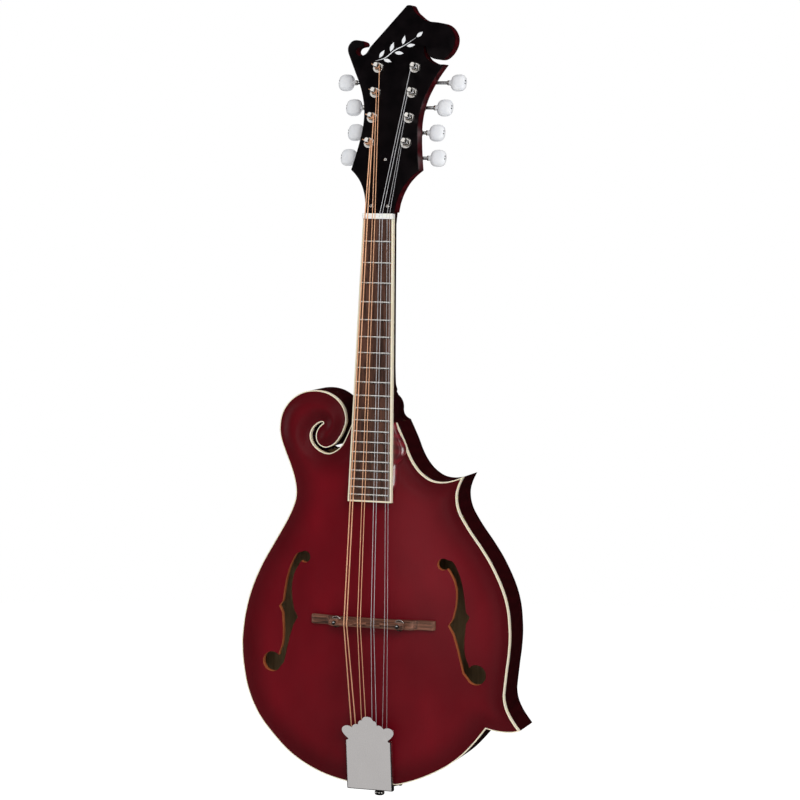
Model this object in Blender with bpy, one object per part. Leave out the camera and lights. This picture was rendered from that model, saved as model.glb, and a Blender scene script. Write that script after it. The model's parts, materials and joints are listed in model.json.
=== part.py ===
"""An F-style mandolin, upright, at rest.

Frame: metres, +Z up along the neck, -Y is the soundboard side, +X is the treble side. The origin is the
centre of the end button's outer face. Dimensions below are in millimetres, with y = 0 at the front rim, and
add_mesh scales them once and moves them so that the button's axis is at y = 0.
"""

import math

import bmesh
import bpy
import numpy as np
from mathutils.geometry import delaunay_2d_cdt

MM = 0.001
GAP = 0.3

# Body, seen from the front: x to the treble side, z up. The front rim plane is y = 0.
EDGE_DEPTH = 44.6
PLATE_EDGE = 5.4
BACK_EDGE = 4.4
BINDING_WIDTH = 1.5
RIB_THICKNESS = 2.3
LINING_WIDTH = 4.8
LINING_HEIGHT = 8.0
TOP_ARCH = 12.0
BACK_ARCH = 12.0
TOP_PLATE = 4.2
NECK_LINE = 337.0
BLOCK_LINE = 303.0
CURVE_STEPS = 2
OUTLINE_TOLERANCE = 0.22

# The outline runs counterclockwise from the bass side of the neck to the treble side, in stretches that
# meet at corners: the scroll slot and bass side down to the treble corner, then the two points.
BASS_STRETCH = [
    (-21.5, 337), (-24.5, 330), (-28, 322), (-32, 314.8), (-38, 309.6), (-44.5, 307.4), (-51, 309),
    (-56.5, 312.8), (-60.2, 318), (-61, 324), (-58.6, 329.6), (-54.3, 333.5), (-50.4, 334.9),
    (-49.4, 333.9), (-51.6, 332.2), (-55, 327.6), (-56.2, 321.5), (-53.8, 315.4), (-47, 312.2), (-38.8, 315.6),
    (-33.2, 322.5), (-29.6, 330), (-27.8, 338), (-30, 347.5), (-36.2, 355.6), (-45.5, 361), (-57, 362.8),
    (-69.5, 360.5), (-80.5, 353.2), (-87.8, 342.5), (-90.3, 330.3), (-89.3, 320), (-85, 307.5),
    (-80, 295.5), (-76.2, 284), (-74.4, 273), (-75.8, 262.5), (-82, 248), (-94, 227), (-106, 206),
    (-115.6, 184), (-121.5, 162.5), (-124.3, 142), (-124.6, 130.5), (-123.2, 114), (-118.6, 92),
    (-109, 70.8), (-95.2, 53.4), (-78, 37), (-59, 25.5), (-40, 18.3), (-20, 14.4), (0, 13.3),
    (20, 14.6), (35, 18.6), (49, 24.2), (63, 31.4), (72.5, 37.6), (83.5, 46.7), (94.5, 58.8), (104.3, 71.5),
]
LOWER_POINT = [(104.3, 71.5), (112, 70), (121, 69.3), (128, 69.7), (134.6, 71.2)]
TREBLE_STRETCH = [
    (134.6, 71.2), (130, 77), (125.5, 83.7), (121.9, 91.5), (120.3, 99.6), (120.6, 107), (122.4, 124),
    (124, 137.7), (124.8, 151), (124.4, 162), (123, 175.5), (119.5, 189.3), (113.8, 203), (105.6, 218.3),
    (96.3, 232), (87, 244.5), (79, 257), (75.8, 264.8), (74.6, 272), (74.9, 278), (76.8, 284.5), (80.3, 292),
]
UPPER_POINT = [
    (80.3, 292), (75.3, 289.8), (68, 287.4), (59, 286.3), (50, 288), (41, 294), (34.4, 302),
    (29.8, 310.5), (26.4, 319), (22.2, 328), (17.8, 337),
]

# F-hole, treble side; the bass side is its mirror image.
EYE_TOP = (64.2, 214.5, 5.2)
EYE_LOW = (95.0, 118.4, 9.0)
F_OUTER = [(73, 216.5), (78.5, 206.5), (82, 195), (84.2, 182), (85.3, 173.5)]
F_OUTER_NICK = (88.8, 169.2)
F_OUTER_LOW = [(85.6, 163), (84.6, 148), (85.2, 136), (88.2, 127.6)]
F_INNER_LOW = [(83.2, 119), (80.6, 130), (77.6, 142), (74.2, 153)]
F_INNER_NICK = (69.8, 160.8)
F_INNER = [(73.6, 167), (75.9, 179), (76.2, 190.5), (74, 200), (69.9, 207.6)]

# Neck and fingerboard. s runs down the fingerboard from the front of the nut, n into the neck.
SCALE_LENGTH = 352.4
FRETS = 20
NUT_Z = 515.0
NUT_Y = -1.44
NECK_ANGLE = math.radians(3.5)
NUT_WIDTH = 27.8
BOARD_END_WIDTH = 40.2
BOARD_LENGTH = 247.6
BOARD_THICKNESS = 5.4
BOARD_BINDING = 1.5
FRET_HEIGHT = 1.0
FRET_WIDTH = 2.0
NUT_LENGTH = 4.6
NUT_RISE = 2.2
NECK_DEPTH = 14.0
HEEL_BACK_Y = 39.6
HEEL_START = 128.0
HEEL_FULL = 0.47
NECK_SQUARENESS = 2.7
HEEL_SQUARENESS = 8.0
BUTTON_X = -1.8
BUTTON_Z = 347.5
HEEL_BUTTON_RADIUS = 13.2

# Headstock. u is to the treble side, v up its face from the nut, h out of its face.
HEAD_TILT = math.radians(19.1)
HEAD_FACE_DEPTH = 3.4
VENEER = 2.0
HEAD_THICKNESS = 14.5
POST_U = 17.1
FIRST_POST_V = 64.3
POST_PITCH = 23.6
POST_RADIUS = 3.0
POST_HOLE = 3.45
WORM_DROP = 6.6
WORM_H = -20.0
WORM_RADIUS = 2.1
SHAFT_RADIUS = 1.5
GEAR_RADIUS = 4.2
BUTTON_U = (41.7, 37.9, 42.5, 52.5)
BUTTON_RADIUS = 7.7
BUTTON_HALF_THICKNESS = 3.9

# Bridge. The strings cross its saddle at z = BRIDGE_Z.
BRIDGE_X = 2.3
BRIDGE_Z = 161.0
BASE_HALF_LENGTH = 57.0
BASE_WIDTH = 8.4
BASE_TOP = -16.6
SADDLE_HALF_LENGTH = 35.2
SADDLE_X = 0.9
SADDLE_BOTTOM = -20.6
SADDLE_SHELF = -24.0
SADDLE_TOP = -26.6
STUD_SPREAD = 29.2
STUD_RADIUS = 1.5
WHEEL_RADIUS = 5.2
WHEEL_THICKNESS = 2.2

# Strings, bass to treble: radius, and x at the nut, the saddle and the tailpiece.
STRING_NAMES = ("g1", "g2", "d1", "d2", "a1", "a2", "e1", "e2")
STRING_RADII = (0.50, 0.50, 0.33, 0.33, 0.20, 0.20, 0.14, 0.14)
COMPENSATION = (1.2, 1.2, -0.3, -0.3, 1.0, 1.0, -0.8, -0.8)
COURSE_AT_NUT = 6.7
PAIR_AT_NUT = 2.4
COURSE_AT_SADDLE = 12.5
STRING_MIDDLE = 1.5
PAIR_AT_SADDLE = 2.6
COURSE_AT_TAIL = 9.6
PAIR_AT_TAIL = 4.0

# Tailpiece. w runs up its plate from the tail, k out of its plate.
TAIL_ANGLE = math.radians(8.0)
TAIL_Y = -0.6
TAIL_Z = 13.0
FRAME_HALF_WIDTH = 18.5
FRAME_SHEET = 1.0
COVER_HALF_WIDTH = 21.3
COVER_TOP = 6.0
COVER_SHEET = 0.8
LIP_W = -3.6
LIP_RADIUS = 2.0
BUTTON_Y = 22.3


def clear_scene():
    for obj in list(bpy.data.objects):
        bpy.data.objects.remove(obj, do_unlink=True)


def material(name, colour, roughness, metallic=0.0):
    made = bpy.data.materials.new(name)
    made.use_nodes = True
    shader = made.node_tree.nodes["Principled BSDF"]
    shader.inputs["Base Color"].default_value = (*colour, 1.0)
    shader.inputs["Roughness"].default_value = roughness
    shader.inputs["Metallic"].default_value = metallic
    return made


def add_mesh(name, vertices, faces, surface, origin=(0, 0, 0)):
    """An object with these millimetre vertices, closed and facing out, whose origin is at origin."""
    shifted = [[(c - o) * MM for c, o in zip(v, origin)] for v in vertices]
    mesh = bpy.data.meshes.new(name)
    mesh.from_pydata(shifted, [], faces)
    work = bmesh.new()
    work.from_mesh(mesh)
    bmesh.ops.remove_doubles(work, verts=work.verts, dist=1e-7)
    bmesh.ops.recalc_face_normals(work, faces=work.faces)
    work.to_mesh(mesh)
    work.free()
    obj = bpy.data.objects.new(name, mesh)
    obj.location = (origin[0] * MM, (origin[1] - BUTTON_Y) * MM, origin[2] * MM)
    obj.data.materials.append(surface)
    bpy.context.scene.collection.objects.link(obj)
    shade(obj)
    return obj


def shade(obj, degrees=35):
    obj.data.shade_smooth()
    obj.data.set_sharp_from_angle(angle=math.radians(degrees))


def combine(target, helper, operation):
    """Joins helper to target, or cuts it away, and leaves target with the result."""
    modifier = target.modifiers.new("combine", "BOOLEAN")
    modifier.operation = operation
    modifier.solver = "EXACT"
    modifier.object = helper
    bpy.context.view_layer.update()
    graph = bpy.context.evaluated_depsgraph_get()
    mesh = bpy.data.meshes.new_from_object(target.evaluated_get(graph))
    target.modifiers.clear()
    target.data = mesh
    bpy.data.objects.remove(helper, do_unlink=True)
    shade(target)
    return target


def join_meshes(parts):
    """One vertex and face list from several (vertices, faces) pairs."""
    vertices = []
    faces = []
    for more_vertices, more_faces in parts:
        base = len(vertices)
        vertices += list(more_vertices)
        faces += [tuple(i + base for i in face) for face in more_faces]
    return vertices, faces


def smooth(points, steps=CURVE_STEPS):
    """A Catmull-Rom curve through the points, ends included."""
    points = [np.array(p, float) for p in points]
    padded = [2 * points[0] - points[1], *points, 2 * points[-1] - points[-2]]
    curve = []
    for a, b, c, d in zip(padded, padded[1:], padded[2:], padded[3:]):
        for i in range(steps):
            t = i / steps
            curve.append(
                0.5 * (2 * b + (c - a) * t + (2 * a - 5 * b + 4 * c - d) * t**2
                       + (3 * b - a - 3 * c + d) * t**3)
            )
    curve.append(points[-1])
    return [tuple(p) for p in curve]


def arc(centre, radius, start, end, steps):
    """Points on a circle, from start to end in degrees."""
    angles = np.radians(np.linspace(start, end, steps + 1))
    return [(centre[0] + radius * math.cos(a), centre[1] + radius * math.sin(a)) for a in angles]


def thinned(path, tolerance):
    """The path without each point that lies this close to the line between its neighbours."""
    kept = [path[0]]
    for i in range(1, len(path) - 1):
        a, b, c = (np.array(p) for p in (kept[-1], path[i], path[i + 1]))
        along = (c - a) / max(np.linalg.norm(c - a), 1e-9)
        off = abs(along[0] * (b - a)[1] - along[1] * (b - a)[0])
        if off > tolerance:
            kept.append(path[i])
    return [*kept, path[-1]]


def body_path():
    path = smooth(BASS_STRETCH)
    for stretch in (LOWER_POINT, TREBLE_STRETCH, UPPER_POINT):
        path += smooth(stretch)[1:]
    return thinned(path, OUTLINE_TOLERANCE)


def distances(points, path):
    """The distance of each point from the nearest segment of the path."""
    points = np.asarray(points, float)[:, None, :]
    line = np.asarray(path, float)
    start = line[:-1][None]
    along = (line[1:] - line[:-1])[None]
    t = ((points - start) * along).sum(2) / np.maximum((along**2).sum(2), 1e-12)
    nearest = start + np.clip(t, 0, 1)[..., None] * along
    return np.linalg.norm(points - nearest, axis=2).min(1)


def inset(path, depth):
    """The path moved to its left by depth, mitred, without the points that come too close to it."""
    line = np.asarray(path, float)
    edges = line[1:] - line[:-1]
    edges /= np.linalg.norm(edges, axis=1)[:, None]
    left = np.stack([-edges[:, 1], edges[:, 0]], 1)
    before = np.vstack([left[:1], left])
    after = np.vstack([left, left[-1:]])
    mitre = before + after
    mitre /= np.maximum((mitre * before).sum(1), 0.2)[:, None]
    moved = line + mitre * depth
    keep = distances(moved, path) > depth * 0.97
    return [tuple(p) for p in moved[keep]]


def inside(points, polygon):
    """True for each point inside the polygon, by counting crossings."""
    points = np.asarray(points, float)
    ring = np.asarray(polygon, float)
    x1, z1 = ring.T
    x2, z2 = np.roll(ring, -1, axis=0).T
    px, pz = points[:, :1], points[:, 1:]
    spans = (z1 > pz) != (z2 > pz)
    slope = (x2 - x1) / np.where(z2 == z1, 1e-9, z2 - z1)
    return ((px < x1 + (pz - z1) * slope) & spans).sum(1) % 2 == 1


def ramp(value):
    """0 to 1 with flat ends."""
    t = min(max(value, 0.0), 1.0)
    return t * t * (3 - 2 * t)


def pear(x, z):
    """0 on the crown line of the arch, 1 at the edge of the arched area."""
    if z < 140:
        return math.hypot(x / 122, (z - 140) / 124)
    half = 72 + 50 * (0.5 + 0.5 * math.cos(math.pi * min((z - 140) / 135, 1)))
    return abs(x) / half


def dome(share):
    return 0.5 + 0.5 * math.cos(math.pi * min(share, 1.0))


def top_height(z):
    return TOP_ARCH - 7.8 * ramp((z - 185) / 140)


def soundboard_front(x, z):
    return -top_height(z) * dome(pear(x, z))


def soundboard_back(x, z):
    rise = (top_height(z) + PLATE_EDGE - TOP_PLATE) * (1 - ramp((z - 245) / 48))
    return PLATE_EDGE - rise * dome(pear(x, z) / 0.93)


def back_outside(x, z):
    return EDGE_DEPTH + BACK_ARCH * (1 - ramp((z - 230) / 105)) * dome(pear(x, z))


def back_inside(x, z):
    return EDGE_DEPTH - BACK_EDGE + BACK_ARCH * (1 - ramp((z - 215) / 85)) * dome(pear(x, z) / 0.93)


def prism(outline, low, high, place):
    """The outline swept from low to high, as (vertices, faces). place turns (a, b, c) into a point."""
    count = len(outline)
    vertices = [place(a, b, low) for a, b in outline] + [place(a, b, high) for a, b in outline]
    faces = [tuple(range(count)), tuple(reversed(range(count, 2 * count)))]
    for i in range(count):
        j = (i + 1) % count
        faces.append((i, j, j + count, i + count))
    return vertices, faces


def box(low, high, place=lambda a, b, c: (a, b, c)):
    outline = [(low[0], low[1]), (high[0], low[1]), (high[0], high[1]), (low[0], high[1])]
    return prism(outline, low[2], high[2], place)


def loft(sections):
    """Closed rings of equal length joined in order, with flat ends."""
    count = len(sections[0])
    vertices = [p for ring in sections for p in ring]
    faces = [tuple(range(count)), tuple(reversed(range(len(vertices) - count, len(vertices))))]
    for k in range(len(sections) - 1):
        for i in range(count):
            j = (i + 1) % count
            faces.append((k * count + i, k * count + j, (k + 1) * count + j, (k + 1) * count + i))
    return vertices, faces


def lathe(profile, place, segments=24):
    """A profile of (radius, height) turned about the height axis; radius 0 at an end closes it."""
    rings = []
    vertices = []
    for radius, height in profile:
        if radius == 0:
            rings.append([len(vertices)] * segments)
            vertices.append(place(0, 0, height))
            continue
        rings.append(list(range(len(vertices), len(vertices) + segments)))
        for a in np.linspace(0, 2 * math.pi, segments, endpoint=False):
            vertices.append(place(radius * math.cos(a), radius * math.sin(a), height))
    faces = []
    for low, high in zip(rings, rings[1:]):
        for i in range(segments):
            j = (i + 1) % segments
            corners = (low[i], low[j], high[j], high[i])
            faces.append(tuple(dict.fromkeys(corners)))
    return vertices, faces


def ring_of(profile, place, segments=24):
    """A profile that closes on itself turned about the height axis, such as a washer."""
    return lathe([*profile, profile[0]], place, segments)


def sheet(outline, holes, first, second, spacing, place):
    """A plate between the surfaces first and second over the outline, open at the holes."""
    loops = [outline, *holes]
    points = [p for loop in loops for p in loop]
    edges = []
    base = 0
    for loop in loops:
        edges += [(base + i, base + (i + 1) % len(loop)) for i in range(len(loop))]
        base += len(loop)
    low = np.min(outline, axis=0)
    high = np.max(outline, axis=0)
    rows = np.arange(low[1] + spacing / 2, high[1], spacing * 0.866)
    grid = [
        (a + (k % 2) * spacing / 2, b)
        for k, b in enumerate(rows)
        for a in np.arange(low[0], high[0], spacing)
    ]
    clear = inside(grid, outline)
    for loop in loops:
        clear &= distances(grid, [*loop, loop[0]]) > spacing * 0.5
    for loop in holes:
        clear &= ~inside(grid, loop)
    points += [p for p, good in zip(grid, clear) if good]
    flat, _, triangles, _, _, _ = delaunay_2d_cdt(points, edges, [], 1, 1e-6)
    middles = [sum((np.array(flat[i]) for i in t), np.zeros(2)) / 3 for t in triangles]
    keep = inside(middles, outline)
    for loop in holes:
        keep &= ~inside(middles, loop)
    triangles = [t for t, good in zip(triangles, keep) if good]
    count = len(flat)
    vertices = [place(a, b, first(a, b)) for a, b in flat] + [place(a, b, second(a, b)) for a, b in flat]
    faces = [tuple(t) for t in triangles] + [tuple(i + count for i in reversed(t)) for t in triangles]
    directed = {(t[i], t[(i + 1) % 3]) for t in triangles for i in range(3)}
    for a, b in directed:
        if (b, a) not in directed:
            faces.append((b, a, a + count, b + count))
    return vertices, faces


def tube(route, radius, sides=6):
    """A round cord of this radius along the route."""
    route = [np.array(p, float) for p in route]
    sections = []
    for i, point in enumerate(route):
        ahead = route[min(i + 1, len(route) - 1)] - route[max(i - 1, 0)]
        ahead /= np.linalg.norm(ahead)
        across = np.cross(ahead, (1.0, 0.0, 0.0))
        across /= np.linalg.norm(across)
        other = np.cross(ahead, across)
        sections.append([
            tuple(point + radius * (math.cos(a) * across + math.sin(a) * other))
            for a in np.linspace(0, 2 * math.pi, sides, endpoint=False)
        ])
    return loft(sections)


def front_place(x, z, y):
    return (x, y, z)


def board_place(x, s, n):
    """A point of the neck frame in the world."""
    return (
        x,
        NUT_Y - s * math.sin(NECK_ANGLE) + n * math.cos(NECK_ANGLE),
        NUT_Z - s * math.cos(NECK_ANGLE) - n * math.sin(NECK_ANGLE),
    )


HEAD_ORIGIN = board_place(0, -NUT_LENGTH - 4 * GAP, HEAD_FACE_DEPTH)


def head_place(u, v, h):
    """A point of the headstock frame in the world."""
    return (
        u,
        HEAD_ORIGIN[1] + v * math.sin(HEAD_TILT) - h * math.cos(HEAD_TILT),
        HEAD_ORIGIN[2] + v * math.cos(HEAD_TILT) + h * math.sin(HEAD_TILT),
    )


def head_cut(u, v, h):
    """As head_place, for the headstock's own sides, which run straight back and not square to its face."""
    return head_place(u, v - h * math.tan(HEAD_TILT), h)


def tail_place(x, w, k):
    """A point of the tailpiece frame in the world."""
    return (
        x,
        TAIL_Y - w * math.sin(TAIL_ANGLE) - k * math.cos(TAIL_ANGLE),
        TAIL_Z + w * math.cos(TAIL_ANGLE) - k * math.sin(TAIL_ANGLE),
    )


def board_half(s):
    return 0.5 * (NUT_WIDTH + (BOARD_END_WIDTH - NUT_WIDTH) * s / BOARD_LENGTH)


def tail_edge(x, path):
    """The height of the body's tail edge at x."""
    low = sorted(p for p in path if abs(p[0]) < 70 and p[1] < 60)
    return float(np.interp(x, [p[0] for p in low], [p[1] for p in low]))


def f_hole():
    """The treble f-hole's outline, counterclockwise."""
    lower_eye = arc(EYE_LOW[:2], EYE_LOW[2], 135, -155, 14)
    upper_eye = arc(EYE_TOP[:2], EYE_TOP[2], -48, -300, 12)
    clockwise = (
        upper_eye
        + smooth([upper_eye[-1], *F_OUTER])[1:]
        + [F_OUTER_NICK]
        + smooth([*F_OUTER_LOW, lower_eye[0]])
        + lower_eye[1:]
        + smooth([*F_INNER_LOW])
        + [F_INNER_NICK]
        + smooth(F_INNER)
    )
    return clockwise[::-1]


def mirrored(outline):
    return [(-x, z) for x, z in reversed(outline)]


def add_soundboard(path, spruce):
    outline = inset(path, BINDING_WIDTH + GAP)
    hole = f_hole()
    made = sheet(outline, [hole, mirrored(hole)], soundboard_front, soundboard_back, 18.0, front_place)
    return add_mesh("soundboard", *made, spruce)


def add_binding(path, cream):
    outline = path + inset(path, BINDING_WIDTH)[::-1]
    return add_mesh("top_binding", *prism(outline, 0.0, PLATE_EDGE, front_place), cream)


def add_ribs(path, maple):
    outline = path + inset(path, RIB_THICKNESS)[::-1]
    made = prism(outline, PLATE_EDGE + GAP, EDGE_DEPTH - BACK_EDGE - GAP, front_place)
    ribs = add_mesh("ribs", *made, maple)
    return combine(ribs, pin_hole(maple), "DIFFERENCE")


def heel_button(steps):
    """The button's outline, from the treble end of the ribs round to the bass end."""
    fillet = [(15.6, 338.0), (13.4, 339.8), (11.9, 342.2)]
    mirrored_fillet = [(2 * BUTTON_X - x, z) for x, z in reversed(fillet)]
    return fillet + arc((BUTTON_X, BUTTON_Z), HEEL_BUTTON_RADIUS, -12, 192, steps) + mirrored_fillet


def add_back(path, maple):
    """The back plate, with the long button that covers the heel."""
    outline = path + heel_button(8)
    return add_mesh("back_plate", *sheet(outline, [], back_inside, back_outside, 21.0, front_place), maple)


def dovetail(half_outer, half_inner, depth):
    return [
        (half_outer, NECK_LINE), (half_inner, NECK_LINE - depth),
        (-half_inner, NECK_LINE - depth), (-half_outer, NECK_LINE),
    ]


def add_head_block(path, maple):
    """The block inside the scroll and the neck end, with its dovetail mortise."""
    low_bass = next(i for i, p in enumerate(path) if p[0] < -60 and p[1] < BLOCK_LINE)
    low_treble = max(i for i, p in enumerate(path) if p[0] > 20 and p[1] < BLOCK_LINE)
    inner = RIB_THICKNESS + GAP
    whole = inset(path, inner)
    bass_end = path[low_bass]
    treble_start = path[low_treble]
    first = [p for p in whole[: len(whole) // 2] if p[1] > bass_end[1] or p[0] > -60]
    first = first[: 1 + max(i for i, p in enumerate(first) if p[0] < -60 and p[1] > BLOCK_LINE)]
    last = [p for p in whole[len(whole) // 2:] if p[1] > treble_start[1] and p[0] < 40]
    mortise = dovetail(8.7, 11.5, 15.0)
    outline = first + last + [(x, min(z, last[-1][1])) for x, z in mortise]
    return add_mesh("head_block", *prism(outline, PLATE_EDGE + GAP, 39.9, front_place), maple)


def add_tail_block(path, spruce):
    """The block the end button is pinned in, notched over both linings."""
    ribs_clear = 3.0
    lining_clear = ribs_clear + LINING_WIDTH + 0.6
    front = PLATE_EDGE + GAP
    back = EDGE_DEPTH - BACK_EDGE - GAP
    top = front + LINING_HEIGHT + GAP
    bottom = back - LINING_HEIGHT - GAP
    section = [
        (top, ribs_clear), (bottom, ribs_clear), (bottom, lining_clear), (back, lining_clear),
        (back, 27.0), (front, 27.0), (front, lining_clear), (top, lining_clear),
    ]
    rings = [
        [(x, y, tail_edge(x, path) + rise) for y, rise in section]
        for x in np.linspace(-34.0, 34.0, 9)
    ]
    block = add_mesh("tail_block", *loft(rings), spruce)
    return combine(block, pin_hole(spruce), "DIFFERENCE")


def pin_hole(surface):
    made = lathe([(0, 5.0), (3.3, 5.0), (3.3, 36.0), (0, 36.0)], lambda a, b, c: (a, BUTTON_Y + b, c), 20)
    return add_mesh("pin_hole", *made, surface)


def lining_path(path):
    start = next(i for i, p in enumerate(path) if p[0] < -60 and p[1] < BLOCK_LINE - 6)
    end = max(i for i, p in enumerate(path) if p[0] > 43 and p[1] < BLOCK_LINE - 6)
    return path[start : end + 1]


def add_lining(name, path, low, high, basswood):
    run = lining_path(path)
    outer = thinned(inset(run, RIB_THICKNESS + GAP + 0.1), 0.1)
    inner = thinned(inset(run, RIB_THICKNESS + GAP + LINING_WIDTH), 0.3)
    return add_mesh(name, *prism(outer + inner[::-1], low, high, front_place), basswood)


def add_tone_bar(name, x_low, x_high, spruce):
    """A bar glued under the soundboard, leaning from x_low at its foot to x_high at its head."""
    rings = []
    for t in np.linspace(0, 1, 11):
        z = 92 + 160 * t
        middle = x_low + (x_high - x_low) * t
        deep = 3.0 + 8.0 * math.sin(math.pi * t) ** 0.7
        under = [soundboard_back(middle + side, z) + GAP + 0.2 for side in (-3.0, 3.0)]
        floor = max(under)
        rings.append([
            (middle - 3.0, under[0], z), (middle + 3.0, under[1], z),
            (middle + 2.2, floor + deep, z), (middle - 2.2, floor + deep, z),
        ])
    return add_mesh(name, *loft(rings), spruce)


def neck_section(s, top, depth, squareness, taper, lean=0.0):
    """A ring across the neck: flat at the fingerboard, rounded behind, its back moved over by lean."""
    half = board_half(max(s, 0.0))
    ring = []
    for a in np.linspace(0, math.pi, 13):
        side = math.copysign(abs(math.cos(a)) ** (2 / squareness), math.cos(a))
        drop = abs(math.sin(a)) ** (2 / squareness)
        ring.append(board_place(half * side * (1 - taper * drop) + lean * drop, s, top + depth * drop))
    return ring


def heel_slimness(t):
    """How far the heel's back draws in: to the button over it, and out again to meet the ribs."""
    share = (t - HEEL_FULL) / (1 - HEEL_FULL)
    round_top = 0.28 + 0.34 * (1 - min(max(share, 0.0) / 0.35, 1.0)) ** 2
    return round_top * ramp(t / HEEL_FULL) * (1 - ramp((t - 0.87) / 0.13))


def add_neck_shaft(maple):
    top = BOARD_THICKNESS + GAP
    joint = (NUT_Z - NECK_LINE - GAP) / math.cos(NECK_ANGLE)
    sections = [neck_section(-7.2, top + 1.0, NECK_DEPTH - 2.0, NECK_SQUARENESS, 0.0)]
    sections.append(neck_section(-4.0, top, NECK_DEPTH, NECK_SQUARENESS, 0.0))
    for s in np.linspace(2.0, HEEL_START, 8):
        depth = NECK_DEPTH + 2.0 * s / HEEL_START
        sections.append(neck_section(s, top, depth, NECK_SQUARENESS, 0.0))
    for t in (0.1, 0.2, 0.29, 0.36, 0.4, 0.43, 0.452, HEEL_FULL, 0.5, 0.56, 0.65, 0.77, 0.87, 0.93, 1.0):
        s = HEEL_START + (joint - HEEL_START) * t
        at_top = board_place(0, s, top)[1]
        full = (HEEL_BACK_Y - at_top) / math.cos(NECK_ANGLE)
        start = NECK_DEPTH + 2.0
        rise = min(t / HEEL_FULL, 1.0)
        depth = start + (full - start) * (0.15 * rise + 0.85 * rise**8)
        flare = ramp(t / HEEL_FULL)
        slim = heel_slimness(t)
        squareness = NECK_SQUARENESS + (HEEL_SQUARENESS - NECK_SQUARENESS) * flare
        ring = neck_section(s, top, depth, squareness, slim, BUTTON_X * flare)
        sections.append([(x, y, max(z, NECK_LINE + GAP)) for x, y, z in ring])
    flush = [(x, y, NECK_LINE + GAP) for x, y, _ in sections[-1]]
    sections[-1] = flush
    return add_mesh("neck", *loft(sections), maple)


def headstock_outline():
    """Counterclockwise from the bass side of the nut: the treble side, the lobe, the tip and the curl."""
    treble = [(13.4, 0), (14.2, 9), (16.6, 18.5), (20.6, 27.2), (25.8, 34.2), (31.2, 39.2)]
    treble_edge = [
        (31.2, 39.2), (29.4, 49), (26.8, 66), (25.4, 82), (26.2, 96), (28.8, 108), (32.8, 118.5), (37.2, 128),
        (43.2, 138.2),
    ]
    slot = [(43.2, 138.2), (37.6, 138.3), (32.5, 140), (27.2, 143.4), (23.9, 148.8), (22.8, 155)]
    lobe = [
        (24.6, 155), (26.9, 149.3), (30.4, 145), (35.8, 142.9), (42, 143.3), (47, 147.9), (50.2, 154.8),
        (50.7, 161.8), (48.9, 167.5), (45.3, 172.6), (40.4, 176.1), (34.2, 177.8), (23.6, 179.1), (18.4, 181.3),
        (14.2, 184.6), (10.2, 188.2), (6.8, 193.6),
    ]
    curl = [
        (-28.2, 152.4), (-30.4, 148.6), (-33.6, 146.7), (-37, 146.9), (-39.9, 148.8), (-40.5, 151.6),
        (-38.9, 154), (-36, 155), (-33.8, 155.2),
    ]
    curl_back = [
        (-33.8, 155.2), (-33, 157.2), (-34.8, 159.7), (-40.4, 161.4), (-45, 160.2), (-47.8, 155.6),
        (-47.6, 150.6), (-44.8, 144.2),
    ]
    bass_edge = [
        (-44.8, 144.2), (-38.2, 130.6), (-32.6, 119), (-28.6, 108), (-25.8, 96), (-24.8, 82), (-26.2, 66),
        (-29, 49), (-31, 39.2),
    ]
    bass = [(-31, 39.2), (-25.8, 34.2), (-20.6, 27.2), (-16.6, 18.5), (-14.2, 9), (-13.4, 0)]
    outline = smooth(treble)
    for stretch in (treble_edge, slot):
        outline += smooth(stretch)[1:]
    outline += smooth(lobe) + [(3.4, 194.6), (2.4, 194.2), (-27.4, 154.6)]
    for stretch in (curl, curl_back, bass_edge, bass):
        outline += smooth(stretch)[0 if stretch is curl else 1:]
    return thinned(outline, OUTLINE_TOLERANCE)


def post_holes(surface, low, high):
    holes = []
    for side in (-1, 1):
        for k in range(4):
            u, v = side * POST_U, FIRST_POST_V + POST_PITCH * k
            profile = [(0, low), (POST_HOLE, low), (POST_HOLE, high), (0, high)]
            holes.append(lathe(profile, lambda a, b, c, u=u, v=v: head_place(u + a, v + b, c), 12))
    return add_mesh("post_holes", *join_meshes(holes), surface)


def add_riser_to(neck, maple):
    """The part of the neck that carries the fingerboard over the soundboard, wider on the treble side."""
    outline = [
        (19.6, 339.0), (22.7, 329.5), (26.6, 323.0), (29.3, 317.5), (29.9, 313.6), (28.5, 309.2), (25.4, 305.0),
        (21.4, 301.2), (21.0, 284.0), (17.0, 276.5), (0.0, 274.0), (-17.0, 276.5), (-19.4, 284.0),
        (-20.0, 312.0), (-18.4, 326.0), (-17.6, 339.0),
    ]

    def underside(x, z):
        return (NUT_Y - (NUT_Z - z) * math.tan(NECK_ANGLE)
                + (BOARD_THICKNESS + GAP) / math.cos(NECK_ANGLE))

    def above_top(x, z):
        return soundboard_front(x, min(z, NECK_LINE)) - GAP

    riser = add_mesh("riser", *sheet(outline, [], underside, above_top, 11.0, front_place), maple)
    return combine(neck, riser, "UNION")


def add_neck(maple):
    neck = add_neck_shaft(maple)
    head = prism(headstock_outline(), -VENEER - GAP, -HEAD_THICKNESS, head_cut)
    combine(neck, add_mesh("head", *head, maple), "UNION")
    tenon = prism(dovetail(8.0, 11.0, 14.4), PLATE_EDGE + 0.6, HEEL_BACK_Y, front_place)
    tenon = ([(x, y, z + 0.9 if z > NECK_LINE - 1 else z) for x, y, z in tenon[0]], tenon[1])
    combine(neck, add_mesh("tenon", *tenon, maple), "UNION")
    add_riser_to(neck, maple)
    combine(neck, post_holes(maple, 2.0, -20.0), "DIFFERENCE")
    channel = box((-2.9, -5.6, 2.0), (2.9, 150.0, 11.6), board_place)
    return combine(neck, add_mesh("channel", *channel, maple), "DIFFERENCE")


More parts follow.
